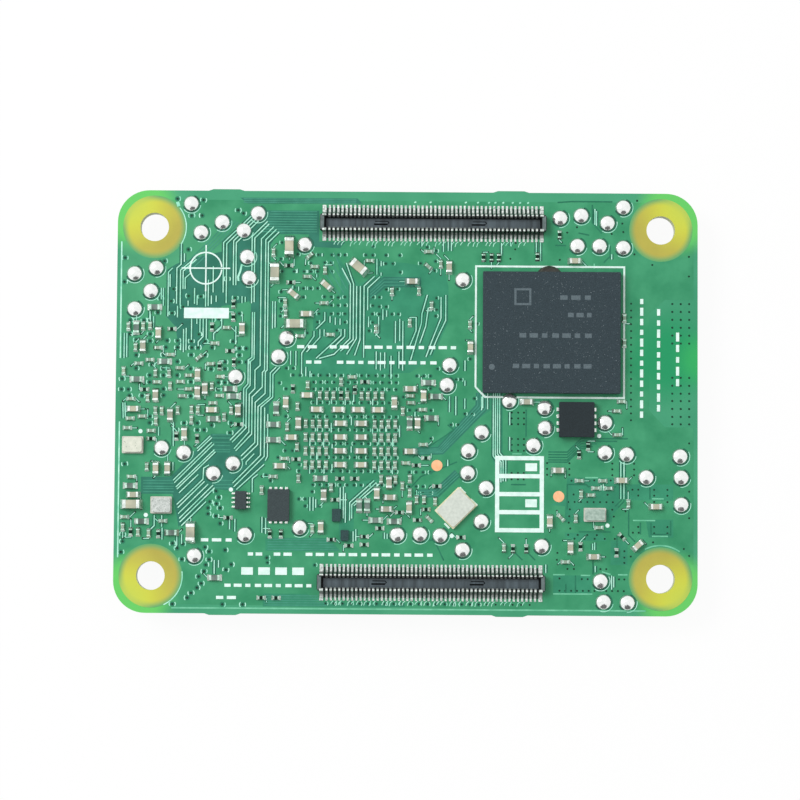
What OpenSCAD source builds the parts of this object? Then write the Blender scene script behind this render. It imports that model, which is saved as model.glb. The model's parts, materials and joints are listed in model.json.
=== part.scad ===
// Plug-in compute module, carrier side up, resting on the lid of its processor.
// Millimetres. X runs along the long edge, Y along the short edge, Z up.
// The origin is under the middle of the board, on the plane that the lid rests on.

/* [Board] */
// Length of the board along X
board_l = 55; // [54:0.5:62]
// Width of the board along Y
board_w = 40; // [39:0.5:46]
// Thickness of the board
board_t = 1.24; // [0.8:0.02:1.6]
// Radius of the board's corners
corner_r = 3; // [1:0.1:3.4]
// Distance from a screw hole's centre to both edges of its corner
hole_inset = 3.5; // [3.2:0.1:3.8]
// Diameter of a screw hole
hole_d = 2.7; // [2.2:0.1:3.2]
// Length of a break-off stub along the board's edge
stub_l = 3.4; // [2:0.1:5]
// How far a break-off stub stands out of the board's edge
stub_out = 0.15; // [0.05:0.05:0.4]
// Place of the first pair of stubs along X
stub_left_x = -17.2; // [-20:0.1:-15]
// Place of the second pair of stubs along X
stub_right_x = 9.8; // [7:0.1:13]

/* [Carrier connectors] */
// Contacts in one row
contact_count = 50; // [40:1:54]
// Distance from one contact to the next
contact_pitch = 0.4; // [0.36:0.01:0.42]
// Width of one contact
contact_w = 0.2; // [0.14:0.01:0.26]
// Thickness of the contact strip
contact_t = 0.08; // [0.05:0.01:0.12]
// Length of the solder tail outside the tub
tail_l = 0.85; // [0.5:0.05:1]
// How far the contact's inner leg reaches down into the tub
inner_leg = 0.35; // [0.2:0.01:0.45]
// Width of the moulded tub
tub_w = 1.56; // [1.4:0.02:1.8]
// Height of the tub
tub_h = 0.88; // [0.75:0.01:1.1]
// Thickness of the tub's long walls
tub_wall = 0.24; // [0.18:0.01:0.3]
// Thickness of the tub's floor
tub_floor = 0.3; // [0.2:0.01:0.4]
// Thickness of the tub's end walls
tub_end = 0.45; // [0.3:0.01:0.6]
// Clear length from the last contact to the tub's end face
tub_margin = 0.92; // [0.88:0.01:1.3]
// Width of a hold-down tab
hold_down_w = 0.36; // [0.3:0.01:0.42]
// Distance from the last contact to the hold-down tab
hold_down_step = 0.5; // [0.46:0.01:0.6]
// Distance from the connectors' centre lines to the board's long edges
connector_inset = 3; // [2.4:0.1:3.1]
// Place of both connectors' middle along X
connector_x = 2.4; // [1.5:0.1:3]

/* [Carrier-side chips] */
// Length of the flash memory package along X
flash_l = 13; // [11.5:0.1:13.2]
// Width of the flash memory package along Y
flash_w = 11.5; // [10:0.1:11.6]
// Thickness of the flash memory package
flash_t = 0.75; // [0.5:0.05:0.9]
// Stand-off height of solder balls
ball_h = 0.2; // [0.12:0.01:0.3]
// Diameter of a solder ball
ball_d = 0.32; // [0.24:0.01:0.36]
// Radius of the edge-bond bead
bead_r = 1.35; // [0.8:0.05:1.6]
// Height of the edge-bond bead
bead_h = 0.82; // [0.5:0.02:0.95]
// Side of the power switch chip
switch_side = 3.3; // [2.8:0.1:3.4]
// Height of the power switch chip
switch_h = 0.85; // [0.6:0.05:1]
// Length of the boot memory chip along Y
boot_l = 3; // [2.6:0.1:3.2]
// Width of the boot memory chip along X
boot_w = 2.05; // [1.8:0.05:2.1]
// Height of the boot memory chip
boot_h = 0.6; // [0.4:0.05:0.9]
// Length of the interface chip along Y
interface_l = 1.7; // [1.6:0.1:2]
// Width of the interface chip along X
interface_w = 1.05; // [0.9:0.05:1.2]
// Height of the interface chip
interface_h = 0.6; // [0.5:0.05:0.8]
// Thickness of the chips' flat leads
lead_t = 0.15; // [0.1:0.01:0.25]
// How far the chips' flat leads stand out
lead_out = 0.22; // [0.1:0.02:0.28]
// Height of the very small logic chips
logic_h = 0.4; // [0.3:0.05:0.6]

/* [Crystals] */
// Length of the main crystal
main_crystal_l = 3.2; // [2.8:0.1:3.3]
// Width of the main crystal
main_crystal_w = 2.5; // [2:0.1:2.6]
// Length of the side crystal and of the clock oscillator
side_crystal_l = 2; // [1.6:0.1:2.2]
// Width of the side crystal and of the clock oscillator
side_crystal_w = 1.6; // [1.4:0.1:1.7]
// Length of the small crystal
small_crystal_l = 2.1; // [1.8:0.1:2.2]
// Width of the small crystal
small_crystal_w = 1.3; // [1.1:0.05:1.4]
// Height of a crystal's ceramic base
crystal_base_h = 0.35; // [0.25:0.05:0.5]
// Height of a crystal's metal lid
crystal_lid_h = 0.25; // [0.1:0.05:0.4]
// Rim of the ceramic base that shows round the lid
crystal_rim = 0.12; // [0.08:0.01:0.2]

/* [Chip capacitors and resistors] */
// Length of a large chip part
large_l = 1.6; // [1.5:0.05:1.7]
// Width of a large chip part
large_w = 0.8; // [0.7:0.05:0.85]
// Height of a large capacitor
large_h = 0.75; // [0.5:0.05:0.9]
// Length of a medium chip part
medium_l = 1; // [0.9:0.05:1.05]
// Width of a medium chip part
medium_w = 0.5; // [0.45:0.01:0.55]
// Height of a medium capacitor
medium_h = 0.5; // [0.3:0.05:0.6]
// Length of a small chip part
small_l = 0.6; // [0.55:0.01:0.65]
// Width of a small chip part
small_w = 0.3; // [0.25:0.01:0.35]
// Height of a small capacitor
small_h = 0.3; // [0.2:0.01:0.4]
// Height of a medium resistor
medium_resistor_h = 0.35; // [0.25:0.05:0.5]
// Height of a small resistor
small_resistor_h = 0.23; // [0.15:0.01:0.35]
// How far the metal ends wrap proud of a chip part's body
end_wrap = 0.02; // [0.01:0.01:0.04]

/* [Test pads and marks] */
// Diameter of a solder dome on a test pad
dome_d = 1.55; // [1.2:0.05:1.55]
// Height of a solder dome
dome_h = 0.3; // [0.2:0.02:0.6]
// Diameter of a bare copper alignment mark
mark_d = 1.05; // [0.8:0.05:1.2]
// Thickness of an alignment mark
mark_t = 0.03; // [0.02:0.01:0.06]

/* [Hidden side] */
// Side of the processor's substrate
processor_side = 17; // [15:0.5:17.5]
// Thickness of the processor's substrate
processor_t = 0.7; // [0.5:0.05:1]
// Side of the lid's flange
lid_flange_side = 15.6; // [14:0.1:16]
// Thickness of the lid's flange
lid_flange_t = 0.4; // [0.3:0.05:0.6]
// Side of the lid's raised top
lid_top_side = 13.6; // [11:0.1:14]
// Height of the lid's raised top above its flange
lid_top_h = 1.05; // [1:0.05:1.4]
// Length of the memory package along X
memory_l = 14.5; // [12:0.5:15]
// Width of the memory package along Y
memory_w = 10; // [9:0.1:10.4]
// Thickness of the memory package
memory_t = 0.85; // [0.6:0.05:1.1]
// Side of the I/O controller
controller_side = 10; // [8:0.5:11]
// Thickness of the I/O controller
controller_t = 1; // [0.7:0.05:1.3]
// Side of the power manager and of the network chip
flat_chip_side = 6; // [5:0.5:6.5]
// Thickness of the power manager and of the network chip
flat_chip_t = 0.85; // [0.7:0.05:1]
// Length of the shield can along X
can_l = 10; // [9:0.5:10.4]
// Width of the shield can along Y
can_w = 8.5; // [7.5:0.5:8.8]
// Height of the shield can
can_h = 1.5; // [1.3:0.05:1.8]
// Thickness of the shield can's sheet
can_sheet = 0.15; // [0.1:0.01:0.2]
// Side of the radio chip under the can
radio_side = 5; // [4:0.5:6]
// Height of the radio chip
radio_h = 0.7; // [0.5:0.05:1]
// Length of a power inductor
inductor_l = 2.5; // [2:0.1:2.8]
// Width of a power inductor
inductor_w = 2; // [1.6:0.1:2.4]
// Height of a power inductor
inductor_h = 1.2; // [0.8:0.1:1.5]
// Side of the antenna connector's base
antenna_side = 2.5; // [2.2:0.1:2.8]
// Outer diameter of the antenna connector's shell
antenna_d = 2; // [1.8:0.05:2.1]
// Height of the antenna connector above the board
antenna_h = 1.25; // [1:0.05:1.5]
// Thickness of the antenna connector's base
antenna_base_t = 0.3; // [0.2:0.05:0.4]
// Wall of the antenna connector's shell
antenna_wall = 0.2; // [0.15:0.01:0.3]
// Diameter of the antenna connector's pin
antenna_pin_d = 0.5; // [0.3:0.05:0.7]

/* [Hidden] */
$fn = 48;

// Heights: the board's two faces above the plane that the lid rests on
under_z = ball_h + processor_t + lid_flange_t + lid_top_h;
top_z = under_z + board_t;

// How far a cutting shape reaches past the faces that it cuts
cut_reach = 1;

// Sides of the board, for loops over left and right or front and back
sides = [-1, 1];

// Slope of a stub's ends, run for each step out, and the depth of its root in the board
stub_slope = 3;
stub_root = 0.5;

// Screw holes and connectors
hole_x = board_l / 2 - hole_inset;
hole_y = board_w / 2 - hole_inset;
connector_y = board_w / 2 - connector_inset;
contact_span = (contact_count - 1) * contact_pitch;
tub_l = contact_span + 2 * tub_margin;
tub_corner_r = 0.2;
strip_heel = 1.75 * contact_t;
strip_crown = 0.14;

// Shallow moulding marks in the tub's floor
mould_mark_l = 1.5;
mould_mark_w = 0.3;
mould_mark_deep = 0.06;
mould_mark_x = 5;

// Part places are drawn for this board and spread with it
drawn_l = 55;
drawn_w = 40;

function spread(p) = [p[0] * board_l / drawn_l, p[1] * board_w / drawn_w, p[2]];

// Gives one turn, in degrees, to every place of a list
function lying(places, turn) = [for (p = places) [p[0], p[1], turn]];

// Places of the carrier-side chips and crystals: x, y, turn
flash_at = [13.65, 6.65, 0];
switch_at = [16.05, -1.55, 0];
boot_at = [-12, -9.8, 0];
interface_at = [-15.55, -9.35, 0];
main_crystal_at = [4.7, -9.95, 45];
side_crystal_at = [-23.05, -9.85, 0];
small_crystal_at = [17.8, -10.5, 0];
oscillator_at = [-25.8, -4.2, 0];

// The two logic chips: x, y, length along X, width along Y
logic_chips = [[-6.55, -10.7, 0.8, 1.2], [-5.75, -12.6, 0.75, 1]];

// Solder domes on the test pads, left part of the board
domes_left = [
    [-20.55, 18.75], [-17.6, 17], [-19.6, 16], [-15.55, 16.2], [-14.2, 17.85], [-15.2, 13.7],
    [-15, 11.7], [-23.8, 12.6], [-25.85, 12.05], [-24.3, 10.4], [-25.8, 8.7], [-16.2, 2.3],
    [-23.1, -4.45], [-21, -4.9], [-16.35, -5.9], [-18.2, -6.85], [-15.15, -12.6], [-19.9, -14.6],
];

// Solder domes, middle of the board
domes_middle = [
    [-9.75, 14.9], [-11.4, 6], [-12.15, 4.25], [-10, -11.9], [-0.8, -12.5], [5.25, 11.65],
    [4.05, 3.55], [3.8, 1.65], [9.7, 0.2], [7.1, -2.8], [5.85, -4.55], [5.8, -6.65],
    [7.55, -8.05], [7.1, -11.2], [1.35, -12.45], [3.25, -12.55], [5.35, -13.9],
];

// Solder domes, right part of the board
domes_right = [
    [14.45, 17.6], [16.45, 17.85], [18.95, 17.15], [20.45, 18.65], [16.1, 14.95], [18.2, 14.95],
    [20.45, 14.8], [13.05, -0.45], [13.1, -2.35], [12, -4], [18.75, -1.8], [12.8, -13.5],
    [18.75, -4.65], [20.8, -4.8], [22.65, -6.95], [25.85, -4.95], [25.95, -6.95], [25.95, -9.5],
    [18.35, -16.75], [18.65, -18.7], [20.9, -18.75],
];
domes_at = lying(concat(domes_left, domes_middle, domes_right), 0);

// Bare copper alignment marks
marks_at = lying([[2.9, -5.95], [14.4, -8.8]], 0);

// Large capacitors
large_upright = [[-11.2, 14.7], [-12.55, 12.2], [-20.25, -12.4]];
large_across = [[-10.6, 7.35], [-25.85, -9.8]];
large_slanted = [[-4.65, 12.8, -40]];
large_at = concat(lying(large_upright, 90), lying(large_across, 0), large_slanted);

// Medium capacitors
medium_upright = [
    [-23.5, 6.4], [-15.6, 6.85], [-24.95, 5.15], [-19.75, 2.5], [-19.05, 1.15], [-19.75, 0.8],
    [-23.7, 0.5], [-22.3, -1.35], [-15.9, -0.85], [-20.95, -3.1], [-23.6, -6.4], [-22.5, -6.4],
    [-11.4, -0.1], [-10.2, -2.05], [-1.15, -0.05], [-7.75, -8.8], [-1.6, -7.6], [-2.75, -8.65],
    [-8, -11.85], [3.95, 12.85], [6, 5.25], [1.6, 0.6], [1.05, -2], [0.3, -9.95],
    [13.55, -11.15], [15.5, -13.6],
];
medium_across = [
    [-25.8, -0.8], [-18.4, -0.85], [-25.7, -8.9], [-9.55, 8.3], [-9.4, 0.6], [-10.85, -3.4],
    [-11.9, -6.1], [-1.5, -9], [-1.85, -10.1], [-8.5, -0.75], [-6.45, -0.75], [-4.6, -0.75],
    [-2.7, -0.75], [0.45, 11.45], [0.35, 1.25], [11.35, 0.1], [0.35, -4.65], [14.35, -6.35],
    [20.3, -7.25], [23.55, -9.7], [17.7, -14.45], [15.85, 13.5],
];
medium_slanted = [[-7.7, 11.05, -40], [-10.8, 10.2, -40], [21.85, -13.35, 42]];

// Rows of capacitors behind the processor: two blocks of small ones with a medium pair between
array_rows = [-2.05, -3.35, -4.65, -5.95];
array_small_x = [-9.5, -8.85, -8.2, -7.55, -3, -2.35, -1.7, -1.05];
array_medium_x = [-6.25, -4.25];
array_small = [for (y = array_rows, x = array_small_x) [x, y]];
array_medium = [for (y = array_rows, x = array_medium_x) [x, y]];
medium_at = concat(lying(medium_upright, 90), lying(concat(medium_across, array_medium), 0),
                   medium_slanted);

// Small capacitors standing along Y, left part of the board
small_upright_left = [
    [-26.35, 7], [-24.95, 7.05], [-24.3, 7.1], [-25.65, 5.05], [-26.75, 2.8], [-23.75, 2.6],
    [-22.45, 2.6], [-22.35, 1.4], [-18.4, 1.4], [-24.45, 0.25], [-23.7, -0.95], [-23.1, -0.95],
    [-21.6, -0.9], [-20.3, -0.8], [-19.7, -0.85], [-16.55, -0.85], [-23.65, -1.95], [-20.3, -1.8],
    [-17.2, -1.5], [-24.45, -6.25], [-26.65, -11.95], [-25.2, -12.4], [-24.2, -12.5],
];

// Small capacitors standing along Y, middle of the board
small_upright_middle = [
    [-12.7, 14.15], [-7.8, 12.5], [-1.45, 10.5], [-11.55, 9.35], [-11.5, 8.35], [-2.95, 6.95],
    [-9.35, 1.55], [-6.2, 1.9], [-10.3, -0.45], [-0.35, -0.85], [-11.25, -2.4], [-10.3, -4.3],
    [-10.15, -7.25], [-7.05, -8.1], [-13.6, -8.4], [-2.35, -7.3], [-1, -7.3], [-0.35, -7.9],
    [-8.8, -12], [-8.2, 0.6], [-7.55, 0.6], [-6.9, 0.6], [-5.6, 0.6], [-4.25, 0.6], [-3.65, 0.6],
    [-2.95, 0.6], [-2.3, 0.6], [3.15, 13.15], [1.1, 10.55], [2.3, 9.2], [5.95, 7.4], [0.25, 7.55],
    [0.35, -7.2], [0.35, -8.55], [1, -9.2], [1.7, -9.2], [2.75, -9.35],
];

// Small capacitors standing along Y, right part of the board
small_upright_right = [[9.25, -13.7], [16.5, -8.55], [20.95, -9.45], [16, -10.85]];

// The pair beside the flash memory keeps its distance from the package
flash_side_x = flash_at[0] + (flash_l / 2 + 0.4) * drawn_l / board_l;
small_upright_flash = [[flash_side_x, 8.1], [flash_side_x, 5.75]];
small_upright = concat(small_upright_left, small_upright_middle, small_upright_right,
                       small_upright_flash, array_small);

// Small capacitors lying along X
small_across = [
    [-17.1, 6.95], [-23.55, 5], [-18.2, 5.45], [-22.4, 4.35], [-24.3, 3.85], [-25.35, 3.5],
    [-18.55, 3.5], [-21.45, 3.1], [-20.6, 2.4], [-17.65, 2.3], [-23.6, 1.75], [-21.4, 1.8],
    [-20.6, 1.1], [-21.2, 0.45], [-17.7, 0.5], [-26.05, 0.15], [-18.3, -0.2], [-26.1, -1.7],
    [-24.95, -1.5], [-26.35, -2.6], [-24.1, -2.85], [-25.9, -7.2], [-26.5, -11], [-22.9, -11.35],
    [-8.8, 12.8], [-9.5, 11.85], [-3.6, 13.4], [-7.9, 9.35], [-10.15, 6.2], [-7.25, 6.35],
    [-5.15, 2.35], [-11.5, -5.4], [-12.55, -7.1], [2, 14.3], [0.35, 0.6], [0.4, -0.05],
    [1.5, -0.7], [1.6, -4], [-0.05, -5.75], [16.35, -7.3], [18.55, -7.3], [17.9, -8], [19.1, -8],
    [17.4, -8.65], [18.2, -11.7], [15.05, -14.95], [20.3, 0.2], [19.85, -0.7], [19.9, -2.95],
];
small_slanted = [
    [-19.65, 4.1, 40], [-9.25, 13.85, 40], [1.95, 12.9, -40], [2.2, -11, -45], [14.6, -10.8, -45],
];
small_at = concat(lying(small_upright, 90), lying(small_across, 0), small_slanted);

// Medium resistors
medium_resistors_upright = [[-25.6, 6.9], [-12.3, -0.7], [-4.4, -9.8], [-3.65, -9.8], [0.3, -2]];
medium_resistors_across = [
    [-23.9, 8.85], [-22.9, 3.7], [-25.5, 2], [-16.7, 1.15], [-16.35, 0.45], [-18.25, -1.7],
    [-26, -8.05], [-24.9, -11.4], [-22.05, -12.45], [-17.95, -16.65], [-12.55, -2.2],
    [-12.55, -3.65], [-8.1, -7.25], [-2.85, -11.15], [-1.1, -11.25], [2.05, 1.85], [2.75, 0.55],
    [2.35, -1.5],
];
medium_resistors_at = concat(lying(medium_resistors_upright, 90), lying(medium_resistors_across, 0));

// Small resistors
small_resistors_upright = [
    [-16.45, 9.2], [-16.45, 7.95], [-18.45, 7], [-16.35, 3.7], [-17.7, 3.3], [-21.7, -3.35],
    [-19.75, -3.55], [-25.9, -12.4], [-23.3, -12.55], [-10.75, 1.2], [-4.9, 1.15], [-12.8, -12.5],
    [-11.75, -12.5], [-6.2, 0.6], [7.2, 13.8], [7.95, 13.8], [8.65, 13.8], [12.3, 13.9],
    [14.4, 16], [17.15, -4.05], [16.3, -4.85], [10.1, -13.75], [11.35, -13.75], [16.45, -13.5],
    [19.85, -14.05],
];
small_resistors_across = [
    [-22.25, 6.8], [-16.75, 4.75], [-24.75, 1.05], [-15.85, -2.2], [-24.1, -3.6], [-16.75, -11],
    [-11.25, 12.9], [-11.05, 11.3], [-3.95, 1.9], [-10.4, -5.45], [-6.25, -7.25], [-4.85, -7.25],
    [-6.7, -9.25], [-7, -13], [-5.35, -13.55], [-3.9, -12.7], [-3.9, -13.45], [-2.45, -11.9],
    [-0.6, -10.4], [-13.55, -18.5], [-12.15, -18.5], [1.85, -5.25], [0.95, -5.95], [2.9, -7.9],
    [1.9, -10.1], [1.1, -11.1], [5.2, -12.7],
];
small_resistors_slanted = [[20.35, -12.55, -45]];
small_resistors_at = concat(lying(small_resistors_upright, 90), lying(small_resistors_across, 0),
                            small_resistors_slanted);

// Lengths of the metal ends of each size of chip part
large_end = 0.32;
medium_end = 0.22;
small_end = 0.15;
inductor_end = 0.3;

// Places on the hidden side, as seen through the board from above
processor_at = [-5.9, -3.1, 0];
memory_at = [-5, 10.8, 0];
controller_at = [10, 1.2, 0];
power_manager_at = [-21, 1.5, 0];
network_chip_at = [7.2, -10.2, 0];
can_at = [17, -9.4, 0];
antenna_at = [23.6, -1.2, 0];
inductors_at = lying([[-22.5, 7.5], [-19, 7.5], [-22.5, -4.5], [-19, -4.5]], 90);

// Hidden capacitors in rows along X: beside the power manager, the controller, the processor, the memory
// and the network chip
manager_caps = [for (x = [-23.5 : 1.2 : -18.7], y = [10.5, -7.5]) [x, y]];
controller_caps = [for (x = [6.5 : 1.2 : 12.5]) [x, 8.3]];
processor_caps = [for (x = [-13.1 : 1.2 : 1.3]) [x, -13.2]];
memory_caps = [for (x = [-11 : 1.2 : 1]) [x, 17.3]];
network_caps = [for (x = [5.4 : 1.2 : 9], y = [-5.6, -14.8]) [x, y]];
caps_in_rows = concat(manager_caps, controller_caps, processor_caps, memory_caps, network_caps);

// Hidden capacitors in columns along Y: left and right of the processor, and right of the controller
left_caps = [for (y = [-10.3 : 1.2 : 4.1]) [-16, y]];
gap_caps = [for (y = [-5 : 1.2 : 4.6]) [3.8, y]];
right_caps = [for (y = [-2.4 : 1.2 : 4.8]) [16.4, y]];
hidden_caps_at = concat(lying(caps_in_rows, 90), lying(concat(left_caps, gap_caps, right_caps), 0));

// Ball grids: pitch and number along X and Y
flash_ball_pitch = 0.5;
flash_balls = [14, 14];
// Rows of flash memory balls left round the empty middle
flash_ball_rows = 4;
big_ball_pitch = 0.8;
ball_barrel = 0.8;
corner_small_r = 0.2;
can_corner_r = 0.6;
lid_corner_r = 0.8;

// Places its children on the carrier side
module on_top(p) {
    q = spread(p);
    translate([q[0], q[1], top_z]) rotate(q[2]) children();
}

// Places its children on the hidden side, upside down
module underneath(p) {
    q = spread(p);
    translate([q[0], q[1], under_z]) rotate(q[2]) mirror([0, 0, 1]) children();
}

// Outline with round corners, centred
module rounded_outline(l, w, r) {
    square([l - 2 * r, w], center = true);
    square([l, w - 2 * r], center = true);
    for (x = sides, y = sides) {
        translate([x * (l / 2 - r), y * (w / 2 - r)]) circle(r = r);
    }
}

// Plate with round corners, standing on z = 0
module rounded_plate(l, w, t, r) {
    linear_extrude(t) rounded_outline(l, w, r);
}

// Plain block, centred in X and Y, standing on z = 0
module block(l, w, h) {
    translate([-l / 2, -w / 2, 0]) cube([l, w, h]);
}

// Body of a chip part, between its two metal ends
module chip_body(l, w, h, end) {
    translate([0, 0, end_wrap]) block(l - 2 * end, w, h);
}

// The two metal ends of a chip part
module chip_ends(l, w, h, end) {
    for (s = sides) {
        translate([s * (l - end) / 2, 0, 0]) block(end, w + 2 * end_wrap, h + 2 * end_wrap);
    }
}

// One solder ball, pressed to a barrel between two pads
module ball() {
    belly = ball_d / 2;
    pad = ball_barrel * belly;
    rotate_extrude() polygon([
        [0, 0], [pad, 0], [belly, 0.3 * ball_h], [belly, 0.7 * ball_h], [pad, ball_h], [0, ball_h],
    ]);
}

// Grid of solder balls; only balls at least "keep" steps from the middle are there
module ball_grid(nx, ny, pitch, keep) {
    for (i = [0 : nx - 1], j = [0 : ny - 1]) {
        x = i - (nx - 1) / 2;
        y = j - (ny - 1) / 2;
        if (max(abs(x), abs(y)) >= keep) {
            translate([x * pitch, y * pitch, 0]) ball();
        }
    }
}

// Spherical cap of a given foot radius and height, standing on z = 0
module cap(foot_r, h) {
    ball_r = (foot_r * foot_r + h * h) / (2 * h);
    intersection() {
        translate([0, 0, h - ball_r]) sphere(r = ball_r);
        block(4 * foot_r, 4 * foot_r, 2 * h);
    }
}

// Flat leads in a row along Y, standing out of a chip's side towards +X
module lead_row(count, pitch, lead_w) {
    for (i = [0 : count - 1]) {
        translate([0, (i - (count - 1) / 2) * pitch - lead_w / 2, 0]) cube([lead_out, lead_w, lead_t]);
    }
}

// Break-off stub with sloping ends, rooted inside the front (-1) or back (1) edge of the board
module stub_outline(x, side) {
    foot = stub_l / 2 + stub_slope * stub_root;
    crest = stub_l / 2 - stub_slope * stub_out;
    q = spread([x, 0]);
    translate([q[0], side * board_w / 2]) rotate(90 - 90 * side) polygon([
        [-foot, -stub_root], [foot, -stub_root], [crest, stub_out], [-crest, stub_out],
    ]);
}

module circuit_board() {
    color("seagreen") translate([0, 0, under_z]) difference() {
        linear_extrude(board_t) {
            rounded_outline(board_l, board_w, corner_r);
            for (s = sides, x = [stub_left_x, stub_right_x]) {
                stub_outline(x, s);
            }
        }
        for (x = sides, y = sides) {
            translate([x * hole_x, y * hole_y, -cut_reach]) cylinder(d = hole_d, h = board_t + 2 * cut_reach);
        }
    }
}

// Places its children at the middle of the back (1) or front (-1) connector
module at_connector(side) {
    translate([connector_x, side * connector_y, top_z]) children();
}

// Moulded tub with two shallow marks in its floor
module connector_housing(side) {
    color("dimgray") at_connector(side) difference() {
        rounded_plate(tub_l, tub_w, tub_h, tub_corner_r);
        translate([0, 0, tub_floor]) block(tub_l - 2 * tub_end, tub_w - 2 * tub_wall, tub_h);
        for (s = sides) {
            translate([s * mould_mark_x, 0, tub_floor - mould_mark_deep])
                block(mould_mark_l, mould_mark_w, tub_h);
        }
    }
}

// Formed strip: a tail on the board, a sloped heel, a riser, a narrow crown over the wall and a leg down
// inside the tub
module formed_strip(w, leg) {
    out_face = tub_w / 2;
    in_face = out_face - tub_wall;
    skin = out_face + contact_t;
    inner = in_face - contact_t;
    crown = tub_h + contact_t;
    outside = [
        [out_face, 0], [skin + tail_l, 0], [skin + tail_l, contact_t], [skin + strip_heel, contact_t],
        [skin, contact_t + strip_heel], [skin, tub_h - contact_t / 2], [out_face, crown],
        [out_face - strip_crown, crown], [in_face, tub_h + contact_t / 2],
    ];
    inside = [[inner, tub_h - contact_t / 4], [inner, tub_h - leg], [in_face, tub_h - leg]];
    back = [[in_face, tub_h], [out_face, tub_h]];
    rotate([90, 0, 90]) linear_extrude(w, center = true)
        polygon(concat(outside, leg > 0 ? inside : [], back));
}

module connector_contacts(side) {
    color("whitesmoke") at_connector(side) for (s = [0, 180], i = [0 : contact_count - 1]) {
        rotate(s) translate([i * contact_pitch - contact_span / 2, 0, 0]) formed_strip(contact_w, inner_leg);
    }
}

// Tabs at the tub's ends have no leg, because the end walls are solid there
module connector_hold_downs(side) {
    color("silver") at_connector(side) for (s = [0, 180], e = sides) {
        rotate(s) translate([e * (contact_span / 2 + hold_down_step), 0, 0]) formed_strip(hold_down_w, 0);
    }
}

module carrier_connector_1_housing() {
    connector_housing(1);
}

module carrier_connector_1_contacts() {
    connector_contacts(1);
}

module carrier_connector_1_hold_downs() {
    connector_hold_downs(1);
}

module carrier_connector_2_housing() {
    connector_housing(-1);
}

module carrier_connector_2_contacts() {
    connector_contacts(-1);
}

module carrier_connector_2_hold_downs() {
    connector_hold_downs(-1);
}

module flash_memory() {
    color("darkslategray") on_top(flash_at) translate([0, 0, ball_h]) block(flash_l, flash_w, flash_t);
}

module flash_memory_balls() {
    empty = (flash_balls[0] + 1) / 2 - flash_ball_rows;
    color("silver") on_top(flash_at) ball_grid(flash_balls[0], flash_balls[1], flash_ball_pitch, empty);
}

// Half-round bead of resin against the package's back side
module flash_memory_edge_bond() {
    lean = bead_r / 2;
    color("black") on_top(flash_at) translate([-0.2, flash_w / 2, 0]) intersection() {
        translate([0, -lean, 0]) cap(bead_r, bead_h);
        translate([-bead_r, 0, 0]) cube(2 * bead_r);
    }
}

module power_switch_chip() {
    color("darkslategray") on_top(switch_at) block(switch_side, switch_side, switch_h);
}

module power_switch_leads() {
    color("silver") on_top(switch_at) for (s = [0, 180]) {
        rotate(s) translate([switch_side / 2, 0, 0]) lead_row(4, 0.65, 0.36);
    }
}

module boot_memory_chip() {
    color("darkslategray") on_top(boot_at) block(boot_w, boot_l, boot_h);
}

module boot_memory_leads() {
    color("silver") on_top(boot_at) for (s = [90, 270]) {
        rotate(s) translate([boot_l / 2, 0, 0]) lead_row(4, 0.5, 0.26);
    }
}

module interface_chip() {
    color("darkslategray") on_top(interface_at) translate([0, 0, lead_t / 2])
        block(interface_w, interface_l, interface_h);
}

// Gull-wing leads: out of the body's side at mid height, then down to a foot on the board
module interface_chip_leads() {
    lead_w = 0.18;
    pitch = 0.42;
    mid = interface_h / 2;
    knee = 0.12;
    color("silver") on_top(interface_at) for (s = [0, 180], i = [-1.5 : 1.5]) {
        rotate(s) translate([interface_w / 2, i * pitch, 0]) rotate([90, 0, 0])
            linear_extrude(lead_w, center = true) polygon([
                [0, mid], [knee - lead_t / 2, mid], [knee, 0], [knee + lead_out, 0],
                [knee + lead_out, lead_t], [knee + lead_t, lead_t], [knee + lead_t / 2, mid + lead_t],
                [0, mid + lead_t],
            ]);
    }
}

module small_logic_chips() {
    color("darkslategray") for (c = logic_chips) {
        on_top([c[0], c[1], 0]) block(c[2], c[3], logic_h);
    }
}

// Ceramic base of a crystal can
module crystal_base(l, w) {
    rounded_plate(l, w, crystal_base_h, corner_small_r / 2);
}

// Metal lid that sits on the base inside its rim
module crystal_lid(l, w) {
    translate([0, 0, crystal_base_h])
        rounded_plate(l - 2 * crystal_rim, w - 2 * crystal_rim, crystal_lid_h, corner_small_r);
}

module main_crystal_base() {
    color("beige") on_top(main_crystal_at) crystal_base(main_crystal_l, main_crystal_w);
}

module main_crystal_lid() {
    color("lightgray") on_top(main_crystal_at) crystal_lid(main_crystal_l, main_crystal_w);
}

module side_crystal_base() {
    color("beige") on_top(side_crystal_at) crystal_base(side_crystal_l, side_crystal_w);
}

module side_crystal_lid() {
    color("lightgray") on_top(side_crystal_at) crystal_lid(side_crystal_l, side_crystal_w);
}

module small_crystal_base() {
    color("white") on_top(small_crystal_at) crystal_base(small_crystal_l, small_crystal_w);
}

module small_crystal_lid() {
    color("lightgray") on_top(small_crystal_at) crystal_lid(small_crystal_l, small_crystal_w);
}

module clock_oscillator_base() {
    color("beige") on_top(oscillator_at) crystal_base(side_crystal_l, side_crystal_w);
}

module clock_oscillator_lid() {
    color("ivory") on_top(oscillator_at) crystal_lid(side_crystal_l, side_crystal_w);
}

module test_pad_domes() {
    color("white") for (p = domes_at) {
        on_top(p) cap(dome_d / 2, dome_h);
    }
}

module alignment_marks() {
    color("sandybrown") for (p = marks_at) {
        on_top(p) cylinder(d = mark_d, h = mark_t);
    }
}

module large_capacitors() {
    color("tan") for (p = large_at) {
        on_top(p) chip_body(large_l, large_w, large_h, large_end);
    }
}

module large_capacitor_ends() {
    color("silver") for (p = large_at) {
        on_top(p) chip_ends(large_l, large_w, large_h, large_end);
    }
}

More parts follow.
